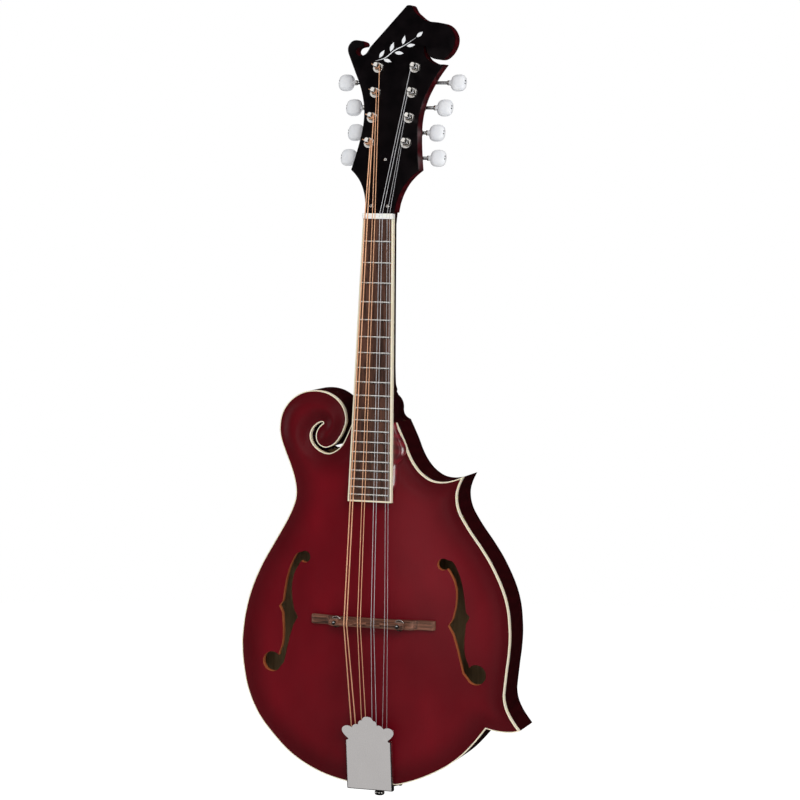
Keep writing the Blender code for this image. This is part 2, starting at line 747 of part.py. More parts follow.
def add_veneer(black):
    made = prism(headstock_outline(), 0.0, -VENEER, head_cut)
    veneer = add_mesh("headstock_veneer", *made, black)
    combine(veneer, post_holes(black, 2.0, -20.0), "DIFFERENCE")
    access = box((-3.4, -3.0, 1.0), (3.4, 18.0, -5.0), head_place)
    return combine(veneer, add_mesh("access", *access, black), "DIFFERENCE")


def add_truss_rod(steel):
    made = lathe(
        [(0, -5.0), (2.5, -5.0), (2.5, 148.0), (0, 148.0)],
        lambda a, b, c: board_place(a, c, 8.6 + b), 12,
    )
    return add_mesh("truss_rod", *made, steel)


def add_truss_cover(black):
    side = smooth([(11.0, 1.0), (11.0, 8.0), (8.4, 15.0), (5.8, 23.0), (4.6, 32.0), (4.6, 41.0), (5.6, 47.0),
                   (4.0, 51.5), (0.0, 53.5)])
    outline = side + [(-u, v) for u, v in reversed(side[:-1])]
    return add_mesh("truss_rod_cover", *prism(outline, GAP, GAP + 2.0, head_place), black)


def string_xs(course, pair, centre):
    return [centre + (k - 1.5) * course + half * pair for k in range(4) for half in (-0.5, 0.5)]


def add_nut(bone):
    """The nut, with a slot for each string."""
    half = NUT_WIDTH / 2
    top = [(-half, -NUT_RISE + 0.3)]
    for x in string_xs(COURSE_AT_NUT, PAIR_AT_NUT, 0.0):
        top += [(x - 0.85, -NUT_RISE), (x - 0.8, -1.2), (x + 0.8, -1.2), (x + 0.85, -NUT_RISE)]
    top.append((half, -NUT_RISE + 0.3))
    outline = [(-half, BOARD_THICKNESS), *top, (half, BOARD_THICKNESS)]
    made = prism(outline, -NUT_LENGTH - GAP + 0.1, -GAP, lambda x, n, s: board_place(x, s, n))
    return add_mesh("nut", *made, bone)


def fret_distance(number):
    return SCALE_LENGTH * (1 - 2 ** (-number / 12))


def add_fingerboard(rosewood):
    """The board with its frets pressed in, as a side profile swept across its width."""
    profile = [(0.0, BOARD_THICKNESS), (0.0, 0.0)]
    for number in range(1, FRETS + 1):
        s = fret_distance(number)
        profile += [
            (s - FRET_WIDTH / 2, 0.0), (s - FRET_WIDTH / 3, -0.75 * FRET_HEIGHT), (s, -FRET_HEIGHT),
            (s + FRET_WIDTH / 3, -0.75 * FRET_HEIGHT), (s + FRET_WIDTH / 2, 0.0),
        ]
    end = BOARD_LENGTH - BOARD_BINDING - GAP
    profile += [(end, 0.0), (end, BOARD_THICKNESS)]
    margin = BOARD_BINDING + GAP

    def place(s, n, side):
        return board_place(side * (board_half(s) - margin), s, n)

    return add_mesh("fingerboard", *prism(profile, -1.0, 1.0, place), rosewood)


def add_board_binding(cream):
    inner = BOARD_BINDING
    start, end = board_half(0), board_half(BOARD_LENGTH)
    outline = [
        (-start, 0.0), (-end, BOARD_LENGTH), (end, BOARD_LENGTH), (start, 0.0),
        (start - inner, 0.0), (end - inner, BOARD_LENGTH - inner), (-end + inner, BOARD_LENGTH - inner),
        (-start + inner, 0.0),
    ]
    return add_mesh("fingerboard_binding", *prism(outline, 0.0, BOARD_THICKNESS, board_place), cream)


def bridge_top(x):
    """The top edge of the bridge base: a flat middle and low ends."""
    out = abs(x - BRIDGE_X)
    return BASE_TOP + 5.2 * ramp((out - 36.5) / 6.5)


def add_bridge_base(rosewood):
    half = BASE_WIDTH / 2
    stations = [0, 14, 25, 36, 38.5, 41, 43.5, 50, 54.5, 56.4, BASE_HALF_LENGTH]
    offsets = [-d for d in reversed(stations[1:])] + stations
    rings = []
    for offset in offsets:
        x = BRIDGE_X + offset
        near_end = max(0.0, abs(offset) - 54.5) / (BASE_HALF_LENGTH - 54.5)
        narrow = half - 1.4 * near_end**2
        under = [soundboard_front(x, BRIDGE_Z + side * narrow) - GAP - 0.15 for side in (-1, 1)]
        top = bridge_top(x) + 1.0 * near_end**2
        rings.append([
            (x, under[0], BRIDGE_Z - narrow), (x, under[1], BRIDGE_Z + narrow),
            (x, top + 0.9, BRIDGE_Z + narrow), (x, top, BRIDGE_Z + narrow - 0.9),
            (x, top, BRIDGE_Z - narrow + 0.9), (x, top + 0.9, BRIDGE_Z - narrow),
        ])
    base = add_mesh("bridge_base", *loft(rings), rosewood)
    return combine(base, stud_holes(rosewood, 1.8, -12.4, -30.0), "DIFFERENCE")


def stud_holes(surface, radius, low, high):
    made = []
    for side in (-1, 1):
        x = SADDLE_X + side * STUD_SPREAD
        profile = [(0, low), (radius, low), (radius, high), (0, high)]
        made.append(lathe(profile, lambda a, b, c, x=x: (x + a, c, BRIDGE_Z + b), 16))
    return add_mesh("stud_holes", *join_meshes(made), surface)


def add_saddle(rosewood):
    """The saddle with a crest for each course, set back by that course's compensation."""
    half = 3.1
    left, right = SADDLE_X - SADDLE_HALF_LENGTH, SADDLE_X + SADDLE_HALF_LENGTH
    outline = arc((right - half, BRIDGE_Z), half, -90, 90, 8) + arc((left + half, BRIDGE_Z), half, 90, 270, 8)
    saddle = add_mesh("bridge_saddle", *prism(outline, SADDLE_BOTTOM, SADDLE_SHELF, front_place), rosewood)
    crests = []
    for k in range(4):
        x = STRING_MIDDLE + (k - 1.5) * COURSE_AT_SADDLE
        z = BRIDGE_Z - COMPENSATION[2 * k] + 0.4
        reach = COURSE_AT_SADDLE / 2
        left_end = x - reach - (1.2 if k == 0 else -0.15)
        right_end = x + reach + (1.2 if k == 3 else 0.15)
        crests.append(([
            (left_end, SADDLE_SHELF + 1.0, z - 1.5), (right_end, SADDLE_SHELF + 1.0, z - 1.5),
            (right_end, SADDLE_SHELF + 1.0, z + 1.5), (left_end, SADDLE_SHELF + 1.0, z + 1.5),
            (left_end, SADDLE_TOP, z - 0.8), (right_end, SADDLE_TOP, z - 0.8),
            (right_end, SADDLE_TOP, z + 0.8), (left_end, SADDLE_TOP, z + 0.8),
        ], [(0, 1, 2, 3), (7, 6, 5, 4), (0, 4, 5, 1), (1, 5, 6, 2), (2, 6, 7, 3), (3, 7, 4, 0)]))
    for crest in crests:
        combine(saddle, add_mesh("crest", *crest, rosewood), "UNION")
    combine(saddle, stud_holes(rosewood, 1.8, -10.0, -30.0), "DIFFERENCE")
    return saddle


def add_bridge_hardware(nickel):
    for name, side in (("bass", -1), ("treble", 1)):
        x = SADDLE_X + side * STUD_SPREAD
        place = lambda a, b, c, x=x: (x + a, c, BRIDGE_Z + b)
        stud = [(0, -12.8), (STUD_RADIUS, -12.8), (STUD_RADIUS, -24.3), (1.1, -24.7), (0, -24.7)]
        add_mesh(f"bridge_stud_{name}", *lathe(stud, place, 14), nickel, (x, -18.0, BRIDGE_Z))
        low = SADDLE_BOTTOM + GAP
        high = low + WHEEL_THICKNESS
        wheel = [
            (STUD_RADIUS + GAP, low), (WHEEL_RADIUS - 0.3, low), (WHEEL_RADIUS, low + 0.3),
            (WHEEL_RADIUS, high - 0.3), (WHEEL_RADIUS - 0.3, high), (STUD_RADIUS + GAP, high),
        ]
        add_mesh(f"bridge_thumbwheel_{name}", *ring_of(wheel, place, 20), nickel, (x, low, BRIDGE_Z))


def add_tailpiece_frame(path, nickel):
    """The bent sheet the strings hook on: a plate over the top and a flange down the tail."""
    plate = box((-FRAME_HALF_WIDTH, -1.2, 0.0), (FRAME_HALF_WIDTH, 54.0, FRAME_SHEET), tail_place)
    frame = add_mesh("tailpiece_frame", *plate, nickel)
    right = [(18.0, -0.8), (26.5, 5.0), (27.0, 11.0), (20.0, 16.5), (9.5, 21.0), (8.0, 26.0), (4.5, 30.5)]
    bend = [(x, -0.8) for x in (-14.0, -9.0, -4.5, 0.0, 4.5, 9.0, 14.0)]
    flange = [*bend, *right, *[(-x, y) for x, y in reversed(right)]]
    hole = arc((0.0, BUTTON_Y), 3.3, 0, 337.5, 15)

    def outer(x, y):
        return tail_edge(x, path) - GAP - FRAME_SHEET

    def against_ribs(x, y):
        return tail_edge(x, path) - GAP

    made = sheet(flange, [hole], outer, against_ribs, 5.0, lambda x, y, z: (x, y, z))
    combine(frame, add_mesh("flange", *made, nickel), "UNION")
    hooks = []
    for k, x in enumerate(string_xs(COURSE_AT_TAIL, PAIR_AT_TAIL, 0.0)):
        w = 34.0 if k % 2 else 42.0
        hooks.append(box((x - 0.7, w, 0.5), (x + 0.7, w + 1.2, 2.2), tail_place))
    return combine(frame, add_mesh("hooks", *join_meshes(hooks), nickel), "UNION")


def add_tailpiece_cover(nickel):
    """The stamped cover: scalloped top, side flanges and a rolled lip at the tail."""
    half = COVER_HALF_WIDTH
    right = [(half, -1.0), (half, 43.4), (19.3, 43.4), (18.2, 44.9)]
    right += smooth([(18.2, 44.9), (21, 47.2), (23.6, 50.7), (23.8, 53.8), (21.7, 56), (18.2, 56.7), (14.8, 55.5)])[1:]
    right += smooth([(14.8, 55.5), (13.3, 57.3), (10.9, 58.6), (8.6, 58.2)])[1:]
    right += smooth([(8.6, 58.2), (8.4, 60.4), (7.2, 61.9), (5.2, 62.4)])[1:]
    right += smooth([(5.2, 62.4), (4.2, 64.4), (2.2, 65.7), (0, 66)])[1:]
    outline = right + [(-x, w) for x, w in reversed(right[:-1])]
    low = COVER_TOP - COVER_SHEET
    cover = add_mesh("tailpiece_cover", *prism(outline, low, COVER_TOP, tail_place), nickel)
    inner = half - COVER_SHEET
    for side in (-1, 1):
        first, second = sorted((side * inner, side * half))
        flange = box((first, -1.6, 1.0), (second, 42.9, low + 0.4), tail_place)
        combine(cover, add_mesh("flange", *flange, nickel), "UNION")
    bend = COVER_TOP - LIP_RADIUS
    profile = [(0.9, low + 0.4), (0.9, COVER_TOP)]
    profile += arc((LIP_W + LIP_RADIUS, bend), LIP_RADIUS, 90, 180, 5)
    profile += [(LIP_W, 0.2), (LIP_W + COVER_SHEET, 0.2)]
    profile += arc((LIP_W + LIP_RADIUS, bend), LIP_RADIUS - COVER_SHEET, 180, 90, 5)
    lip = prism(profile, -half, half, lambda w, k, x: tail_place(x, w, k))
    combine(cover, add_mesh("lip", *lip, nickel), "UNION")
    return cover


def add_end_button(nickel):
    profile = [
        (0, 0.0), (3.6, 0.0), (4.4, 0.7), (4.6, 2.0), (4.3, 3.3), (3.0, 4.4), (2.7, 6.0), (3.2, 8.0),
        (4.4, 9.6), (4.4, 11.4), (2.9, 11.6), (2.6, 31.5), (0, 31.5),
    ]
    made = lathe(profile, lambda a, b, c: (a, BUTTON_Y + b, c), 18)
    return add_mesh("end_button", *made, nickel, (0, BUTTON_Y, 0))


def add_tuner_plate(name, side, nickel):
    """A plate behind the headstock with two open bearings for each worm shaft."""
    low, high = FIRST_POST_V - 15.0, FIRST_POST_V + 3 * POST_PITCH + 11.0
    right = smooth([(17.1, low - 3.5), (20.8, low), (24.2, low + 6.0), (24.2, high - 6.0), (20.8, high),
                    (17.1, high + 3.0)])
    left = [(2 * POST_U - u, v) for u, v in reversed(right[1:-1])]
    outline = [(side * u, v) for u, v in right + left][::side]
    holes = [arc((side * POST_U, FIRST_POST_V + POST_PITCH * k), POST_HOLE, 0, 330, 11) for k in range(4)]
    top = -HEAD_THICKNESS - GAP
    made = sheet(outline, holes, lambda u, v: top, lambda u, v: top - 1.0, 9.0, head_place)
    plate = add_mesh(name, *made, nickel)
    tabs = []
    for k in range(4):
        v = FIRST_POST_V + POST_PITCH * k - WORM_DROP
        tab = [(v - 2.9, -15.3), (v - 2.9, -22.6), (v - 1.85, -22.6), (v - 1.85, -18.1), (v + 1.85, -18.1),
               (v + 1.85, -22.6), (v + 2.9, -22.6), (v + 2.9, -15.3)]
        for u in (10.3, 23.0):
            first, second = sorted((side * u, side * (u + 1.0)))
            tabs.append(prism(tab, first, second, lambda b, c, a: head_place(a, b, c)))
    return combine(plate, add_mesh("tabs", *join_meshes(tabs), nickel), "UNION")


def tuner_names():
    """The eight tuners as (name, side, number), number 0 nearest the nut."""
    return [(f"{word}_{k + 1}", side, k) for word, side in (("bass", -1), ("treble", 1)) for k in range(4)]


def add_post(name, side, k, nickel):
    """A string post and the gear pinned on its lower end."""
    u, v = side * POST_U, FIRST_POST_V + POST_PITCH * k
    profile = [
        (0, -22.0), (GEAR_RADIUS, -22.0), (GEAR_RADIUS, -18.0), (POST_RADIUS, -17.6), (POST_RADIUS, 1.4),
        (2.1, 3.4), (2.1, 5.8), (2.6, 6.9), (2.5, 8.4), (0, 9.0),
    ]
    made = lathe(profile, lambda a, b, c: head_place(u + a, v + b, c), 14)
    return add_mesh(f"string_post_{name}", *made, nickel, head_place(u, v, 0))


def add_worm_shaft(name, side, k, steel):
    v = FIRST_POST_V + POST_PITCH * k - WORM_DROP
    end = BUTTON_U[k] - 1.5
    profile = [
        (0, 9.0), (SHAFT_RADIUS, 9.0), (SHAFT_RADIUS, 12.6), (WORM_RADIUS, 12.9), (WORM_RADIUS, 21.3),
        (SHAFT_RADIUS, 21.6), (SHAFT_RADIUS, end), (0, end),
    ]
    made = lathe(profile, lambda a, b, c: head_place(side * c, v + a, WORM_H + b), 10)
    return add_mesh(f"worm_shaft_{name}", *made, steel, head_place(side * POST_U, v, WORM_H))


def add_button(name, side, k, pearl):
    """A flattened round button with a collar, bored for its shaft."""
    v = FIRST_POST_V + POST_PITCH * k - WORM_DROP
    centre = BUTTON_U[k]
    profile = [
        (0, -BUTTON_HALF_THICKNESS), (4.4, -BUTTON_HALF_THICKNESS), (6.8, -2.4), (BUTTON_RADIUS, 0),
        (6.8, 2.4), (4.4, BUTTON_HALF_THICKNESS), (0, BUTTON_HALF_THICKNESS),
    ]
    made = lathe(profile, lambda a, b, c: head_place(side * (centre + 0.94 * a), v + b, WORM_H + c), 16)
    button = add_mesh(f"tuner_button_{name}", *made, pearl, head_place(side * centre, v, WORM_H))
    collar = [(0, centre - 9.0), (3.1, centre - 9.0), (2.9, centre - 4.0), (0, centre - 4.0)]
    made = lathe(collar, lambda a, b, c: head_place(side * c, v + a, WORM_H + b), 10)
    combine(button, add_mesh("collar", *made, pearl), "UNION")
    bore = [(0, centre - 12.0), (1.85, centre - 12.0), (1.85, centre - 1.0), (0, centre - 1.0)]
    made = lathe(bore, lambda a, b, c: head_place(side * c, v + a, WORM_H + b), 10)
    return combine(button, add_mesh("bore", *made, pearl), "DIFFERENCE")


def string_post_of(index):
    """Which tuner each string runs to: the outer strings to the posts nearest the nut."""
    return (-1, index) if index < 4 else (1, 7 - index)


def add_string(index, steel):
    """A string under tension, from its tailpiece hook over saddle and nut to its post."""
    radius = STRING_RADII[index]
    side, k = string_post_of(index)
    nut_x = string_xs(COURSE_AT_NUT, PAIR_AT_NUT, 0.0)[index]
    saddle_x = string_xs(COURSE_AT_SADDLE, PAIR_AT_SADDLE, STRING_MIDDLE)[index]
    tail_x = string_xs(COURSE_AT_TAIL, PAIR_AT_TAIL, 0.0)[index]
    hook_w = 36.0 if index % 2 else 44.0
    saddle = np.array((saddle_x, SADDLE_TOP - GAP - radius, BRIDGE_Z - COMPENSATION[index] + 0.4))
    nut = np.array(board_place(nut_x, -NUT_LENGTH - GAP, -1.2 - GAP - radius))
    post_v = FIRST_POST_V + POST_PITCH * k
    post = np.array(head_place(side * (POST_U - 2.1 - GAP - radius), post_v, 4.7))
    hook = np.array(tail_place(tail_x, hook_w, FRAME_SHEET + GAP + radius))
    exit_point = np.array(tail_place(tail_x, 55.0, FRAME_SHEET + GAP + radius))
    over_nut = nut + (saddle - nut) * 0.012
    past_nut = nut + (post - nut) * 0.03
    route = [hook, exit_point, saddle, over_nut, nut, past_nut, post]
    return add_mesh(f"string_{STRING_NAMES[index]}", *tube(route, radius), steel)


def main():
    clear_scene()
    red_top = material("wine_red_spruce", (0.125, 0.006, 0.016), 0.38)
    red_maple = material("wine_red_maple", (0.055, 0.004, 0.008), 0.38)
    raw_wood = material("raw_spruce", (0.55, 0.36, 0.18), 0.7)
    block_wood = material("raw_block_wood", (0.48, 0.3, 0.15), 0.7)
    black = material("black_veneer", (0.008, 0.008, 0.009), 0.35)
    black_plastic = material("black_plastic", (0.01, 0.01, 0.01), 0.3)
    cream = material("cream_binding", (0.82, 0.74, 0.55), 0.35)
    bone = material("white_nut", (0.86, 0.84, 0.78), 0.35)
    rosewood = material("rosewood", (0.09, 0.045, 0.03), 0.5)
    nickel = material("nickel", (0.72, 0.7, 0.68), 0.22, 1.0)
    steel = material("steel", (0.6, 0.6, 0.6), 0.3, 1.0)
    bronze = material("bronze_wound_string", (0.62, 0.36, 0.2), 0.35, 1.0)
    pearl = material("pearloid", (0.85, 0.86, 0.86), 0.25)

    path = body_path()
    add_soundboard(path, red_top)
    add_binding(path, cream)
    add_ribs(path, red_maple)
    add_back(path, red_maple)
    add_head_block(path, block_wood)
    add_tail_block(path, block_wood)
    front = PLATE_EDGE + GAP
    back = EDGE_DEPTH - BACK_EDGE - GAP
    add_lining("lining_top", path, front, front + LINING_HEIGHT, raw_wood)
    add_lining("lining_back", path, back - LINING_HEIGHT, back, raw_wood)
    add_tone_bar("tone_bar_bass", -40.0, -26.0, raw_wood)
    add_tone_bar("tone_bar_treble", 42.0, 26.0, raw_wood)
    add_neck(red_maple)
    add_veneer(black)
    add_truss_rod(steel)
    add_truss_cover(black_plastic)
    add_nut(bone)
    add_fingerboard(rosewood)
    add_board_binding(cream)
    add_bridge_base(rosewood)
    add_saddle(rosewood)
    add_bridge_hardware(nickel)
    add_tailpiece_frame(path, nickel)
    add_tailpiece_cover(nickel)
    add_end_button(nickel)
    add_tuner_plate("tuner_plate_bass", -1, nickel)
    add_tuner_plate("tuner_plate_treble", 1, nickel)
    for name, side, k in tuner_names():
        add_post(name, side, k, nickel)
        add_worm_shaft(name, side, k, steel)
        add_button(name, side, k, pearl)
    for index in range(len(STRING_NAMES)):
        add_string(index, bronze if index < 4 else steel)


main()
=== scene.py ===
"""The visual model of the F-style mandolin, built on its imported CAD.

Frame: metres, +Z up along the neck, -Y is the soundboard side, +X is the treble side, origin at the end
button's outer face. Shapes are worked out in millimetres with y = 0 at the front rim, as in the CAD.
"""

import json
import math

import bmesh
import bpy
import numpy as np
from mathutils import Matrix, Vector
from mathutils.geometry import delaunay_2d_cdt

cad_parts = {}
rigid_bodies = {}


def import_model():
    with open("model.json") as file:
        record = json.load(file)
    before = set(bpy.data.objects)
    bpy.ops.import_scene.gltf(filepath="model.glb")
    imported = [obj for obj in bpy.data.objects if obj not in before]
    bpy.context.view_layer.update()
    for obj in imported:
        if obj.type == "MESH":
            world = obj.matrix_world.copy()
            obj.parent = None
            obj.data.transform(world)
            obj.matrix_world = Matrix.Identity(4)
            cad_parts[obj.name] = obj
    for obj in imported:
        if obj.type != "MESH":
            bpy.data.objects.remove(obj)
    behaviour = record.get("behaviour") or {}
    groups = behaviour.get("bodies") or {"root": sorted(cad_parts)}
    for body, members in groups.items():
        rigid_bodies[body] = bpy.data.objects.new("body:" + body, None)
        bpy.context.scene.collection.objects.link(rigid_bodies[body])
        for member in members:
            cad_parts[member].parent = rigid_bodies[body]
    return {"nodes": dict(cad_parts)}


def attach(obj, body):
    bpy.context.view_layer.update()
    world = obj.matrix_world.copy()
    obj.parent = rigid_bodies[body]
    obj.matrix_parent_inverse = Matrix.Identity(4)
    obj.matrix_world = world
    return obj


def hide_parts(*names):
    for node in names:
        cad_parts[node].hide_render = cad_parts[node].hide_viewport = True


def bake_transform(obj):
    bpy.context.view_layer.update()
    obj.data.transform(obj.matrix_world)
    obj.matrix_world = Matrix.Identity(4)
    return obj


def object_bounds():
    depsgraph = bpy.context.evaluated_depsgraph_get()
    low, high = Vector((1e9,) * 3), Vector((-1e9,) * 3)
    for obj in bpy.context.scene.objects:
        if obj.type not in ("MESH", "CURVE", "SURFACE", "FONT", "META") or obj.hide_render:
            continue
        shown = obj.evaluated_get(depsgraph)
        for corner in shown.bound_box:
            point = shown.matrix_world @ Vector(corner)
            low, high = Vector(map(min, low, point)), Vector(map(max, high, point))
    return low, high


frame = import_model()
CAD_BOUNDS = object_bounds()

MM = 0.001
GAP = 0.3
TURN = 2 * math.pi
BEVELLED_ANGLE = math.radians(40)

# Body.
EDGE_DEPTH = 44.6
PLATE_EDGE = 5.4
BACK_EDGE = 4.4
BINDING_WIDTH = 0.95
RIB_THICKNESS = 2.3
LINING_WIDTH = 4.8
LINING_HEIGHT = 8.0
LINING_BLOCK = 5.6
LINING_PITCH = 6.6
TOP_ARCH = 12.0
BACK_ARCH = 12.0
TOP_PLATE = 4.2
NECK_LINE = 337.0
BLOCK_LINE = 303.0
SCROLL_RISE = 4.4
BASS_STRETCH = [
    (-21.5, 337), (-24.5, 330), (-28, 322), (-32, 314.8), (-38, 309.6), (-44.5, 307.4), (-51, 309),
    (-56.5, 312.8), (-60.2, 318), (-61, 324), (-58.6, 329.6), (-54.3, 333.5), (-50.4, 334.9),
    (-49.4, 333.9), (-51.6, 332.2), (-55, 327.6), (-56.2, 321.5), (-53.8, 315.4), (-47, 312.2), (-38.8, 315.6),
    (-33.2, 322.5), (-29.6, 330), (-27.8, 338), (-30, 347.5), (-36.2, 355.6), (-45.5, 361), (-57, 362.8),
    (-69.5, 360.5), (-80.5, 353.2), (-87.8, 342.5), (-90.3, 330.3), (-89.3, 320), (-85, 307.5),
    (-80, 295.5), (-76.2, 284), (-74.4, 273), (-75.8, 262.5), (-82, 248), (-94, 227), (-106, 206),
    (-115.6, 184), (-121.5, 162.5), (-124.3, 142), (-124.6, 130.5), (-123.2, 114), (-118.6, 92),
    (-109, 70.8), (-95.2, 53.4), (-78, 37), (-59, 25.5), (-40, 18.3), (-20, 14.4), (0, 13.3),
    (20, 14.6), (35, 18.6), (49, 24.2), (63, 31.4), (72.5, 37.6), (83.5, 46.7), (94.5, 58.8), (104.3, 71.5),
]
LOWER_POINT = [(104.3, 71.5), (112, 70), (121, 69.3), (128, 69.7), (134.6, 71.2)]
TREBLE_STRETCH = [
    (134.6, 71.2), (130, 77), (125.5, 83.7), (121.9, 91.5), (120.3, 99.6), (120.6, 107), (122.4, 124),
    (124, 137.7), (124.8, 151), (124.4, 162), (123, 175.5), (119.5, 189.3), (113.8, 203), (105.6, 218.3),
    (96.3, 232), (87, 244.5), (79, 257), (75.8, 264.8), (74.6, 272), (74.9, 278), (76.8, 284.5), (80.3, 292),
]
UPPER_POINT = [
    (80.3, 292), (75.3, 289.8), (68, 287.4), (59, 286.3), (50, 288), (41, 294), (34.4, 302),
    (29.8, 310.5), (26.4, 319), (22.2, 328), (17.8, 337),
]
EYE_TOP = (64.2, 214.5, 5.2)
EYE_LOW = (95.0, 118.4, 9.0)
F_OUTER = [(73, 216.5), (78.5, 206.5), (82, 195), (84.2, 182), (85.3, 173.5)]
F_OUTER_NICK = (88.8, 169.2)
F_OUTER_LOW = [(85.6, 163), (84.6, 148), (85.2, 136), (88.2, 127.6)]
F_INNER_LOW = [(83.2, 119), (80.6, 130), (77.6, 142), (74.2, 153)]
F_INNER_NICK = (69.8, 160.8)
F_INNER = [(73.6, 167), (75.9, 179), (76.2, 190.5), (74, 200), (69.9, 207.6)]

# Neck and fingerboard.
SCALE_LENGTH = 352.4
FRETS = 20
NUT_Z = 515.0
NUT_Y = -1.44
NECK_ANGLE = math.radians(3.5)
NUT_WIDTH = 27.8
BOARD_END_WIDTH = 40.2
BOARD_LENGTH = 247.6
BOARD_THICKNESS = 5.4
BOARD_BINDING = 1.5
NUT_LENGTH = 4.6
NUT_RISE = 2.2
NUT_SLOT = -1.5
NECK_DEPTH = 14.0
HEEL_BACK_Y = 39.6
HEEL_START = 128.0
HEEL_FULL = 0.47
NECK_SQUARENESS = 2.7
HEEL_SQUARENESS = 8.0
HEAD_SQUARENESS = 0.24
BUTTON_X = -1.8
BUTTON_Z = 347.5
HEEL_BUTTON_RADIUS = 13.2
RISER_ROUNDING = 4.5
SIDE_DOTS = (3, 5, 7, 10, 12, 15)

# Headstock.
HEAD_TILT = math.radians(19.1)
HEAD_FACE_DEPTH = 3.4
VENEER = 2.0
HEAD_THICKNESS = 14.5
POST_U = 17.1
FIRST_POST_V = 64.3
POST_PITCH = 23.6
POST_RADIUS = 2.9
WORM_DROP = 6.6
WORM_H = -20.0
SHAFT_RADIUS = 1.5
GEAR_TEETH = 14
GEAR_LOW = -22.0
GEAR_HIGH = -18.0
BUTTON_U = (41.7, 37.9, 42.5, 52.5)
BUTTON_RADIUS = 7.7
BUTTON_HALF_THICKNESS = 3.9
BUTTON_SQUARENESS = 2.7
PIN_LIFT = 0.3
STRING_LEVEL = 4.7

# Bridge.
BRIDGE_X = 2.3
BRIDGE_Z = 161.0
BASE_HALF_LENGTH = 57.0
BASE_WIDTH = 8.4
BASE_TOP = -16.6
SADDLE_HALF_LENGTH = 35.2
SADDLE_HALF_WIDTH = 3.1
SADDLE_X = 0.9
SADDLE_BOTTOM = -20.6
SADDLE_SHELF = -24.0
SADDLE_TOP = -26.6
STUD_SPREAD = 29.2
STUD_RADIUS = 1.5
WHEEL_RADIUS = 5.2
WHEEL_THICKNESS = 2.2
WHEEL_TEETH = 32

# Strings, bass to treble.
STRING_NAMES = ("g1", "g2", "d1", "d2", "a1", "a2", "e1", "e2")
STRING_RADII = (0.50, 0.50, 0.33, 0.33, 0.20, 0.20, 0.14, 0.14)
COMPENSATION = (1.2, 1.2, -0.3, -0.3, 1.0, 1.0, -0.8, -0.8)
COURSE_AT_NUT = 6.7
PAIR_AT_NUT = 2.4
COURSE_AT_SADDLE = 12.5
STRING_MIDDLE = 1.5
PAIR_AT_SADDLE = 2.6
COURSE_AT_TAIL = 9.6
PAIR_AT_TAIL = 4.0

# Tailpiece.
TAIL_ANGLE = math.radians(8.0)
TAIL_Y = -0.6
TAIL_Z = 13.0
FRAME_SHEET = 1.0
COVER_HALF_WIDTH = 21.3
COVER_TOP = 6.0
COVER_SHEET = 0.8
COVER_CORNER = 1.3
COVER_SHOULDER = 43.4
LIP_W = -2.3
LIP_RADIUS = 1.3
BUTTON_Y = 22.3

# Camera, in degrees and metres.
CAMERA_AZIMUTH = 17.97
CAMERA_ELEVATION = 4.56
CAMERA_ROLL = 0.70
CAMERA_DISTANCE = 2.41678
CAMERA_TARGET = (0.02183, -0.0223, 0.35711)
CAMERA_LENS = 124.2
FLOOR_Z = -0.75
FLOOR_RADIUS = 6.0


# ---- Curves and surfaces ----


def smooth(points, steps=7):
    """A Catmull-Rom curve through the points, ends included."""
    points = [np.array(p, float) for p in points]
    padded = [2 * points[0] - points[1], *points, 2 * points[-1] - points[-2]]
    curve = []
    for a, b, c, d in zip(padded, padded[1:], padded[2:], padded[3:]):
        for i in range(steps):
            t = i / steps
            curve.append(
                0.5 * (2 * b + (c - a) * t + (2 * a - 5 * b + 4 * c - d) * t**2
                       + (3 * b - a - 3 * c + d) * t**3)
            )
    curve.append(points[-1])
    return [tuple(p) for p in curve]


def arc(centre, radius, start, end, steps):
    angles = np.radians(np.linspace(start, end, steps + 1))
    return [(centre[0] + radius * math.cos(a), centre[1] + radius * math.sin(a)) for a in angles]


def body_path():
    path = smooth(BASS_STRETCH)
    for stretch in (LOWER_POINT, TREBLE_STRETCH, UPPER_POINT):
        path += smooth(stretch)[1:]
    return path


def distances(points, path):
    """The distance of each point from the nearest segment of the path."""
    line = np.asarray(path, float)
    start = line[:-1][None]
    along = (line[1:] - line[:-1])[None]
    square = np.maximum((along**2).sum(2), 1e-12)
    found = []
    for some in np.array_split(np.asarray(points, float), max(1, len(points) // 400)):
        some = some[:, None, :]
        t = np.clip(((some - start) * along).sum(2) / square, 0, 1)
        found.append(np.linalg.norm(some - (start + t[..., None] * along), axis=2).min(1))
    return np.concatenate(found)


def inset(path, depth):
    """The path moved to its left by depth, mitred, without the points that come too close to it."""
    line = np.asarray(path, float)
    edges = line[1:] - line[:-1]
    edges /= np.linalg.norm(edges, axis=1)[:, None]
    left = np.stack([-edges[:, 1], edges[:, 0]], 1)
    before = np.vstack([left[:1], left])
    after = np.vstack([left, left[-1:]])
    mitre = before + after
    mitre /= np.maximum((mitre * before).sum(1), 0.2)[:, None]
    moved = line + mitre * depth
    keep = distances(moved, path) > depth * 0.985
    return [tuple(p) for p in moved[keep]]


def inside(points, polygon):
    points = np.asarray(points, float)
    ring = np.asarray(polygon, float)
    x1, z1 = ring.T
    x2, z2 = np.roll(ring, -1, axis=0).T
    px, pz = points[:, :1], points[:, 1:]
    spans = (z1 > pz) != (z2 > pz)
    slope = (x2 - x1) / np.where(z2 == z1, 1e-9, z2 - z1)
    return ((px < x1 + (pz - z1) * slope) & spans).sum(1) % 2 == 1


def ramp(value):
    t = np.clip(value, 0.0, 1.0)
    return t * t * (3 - 2 * t)


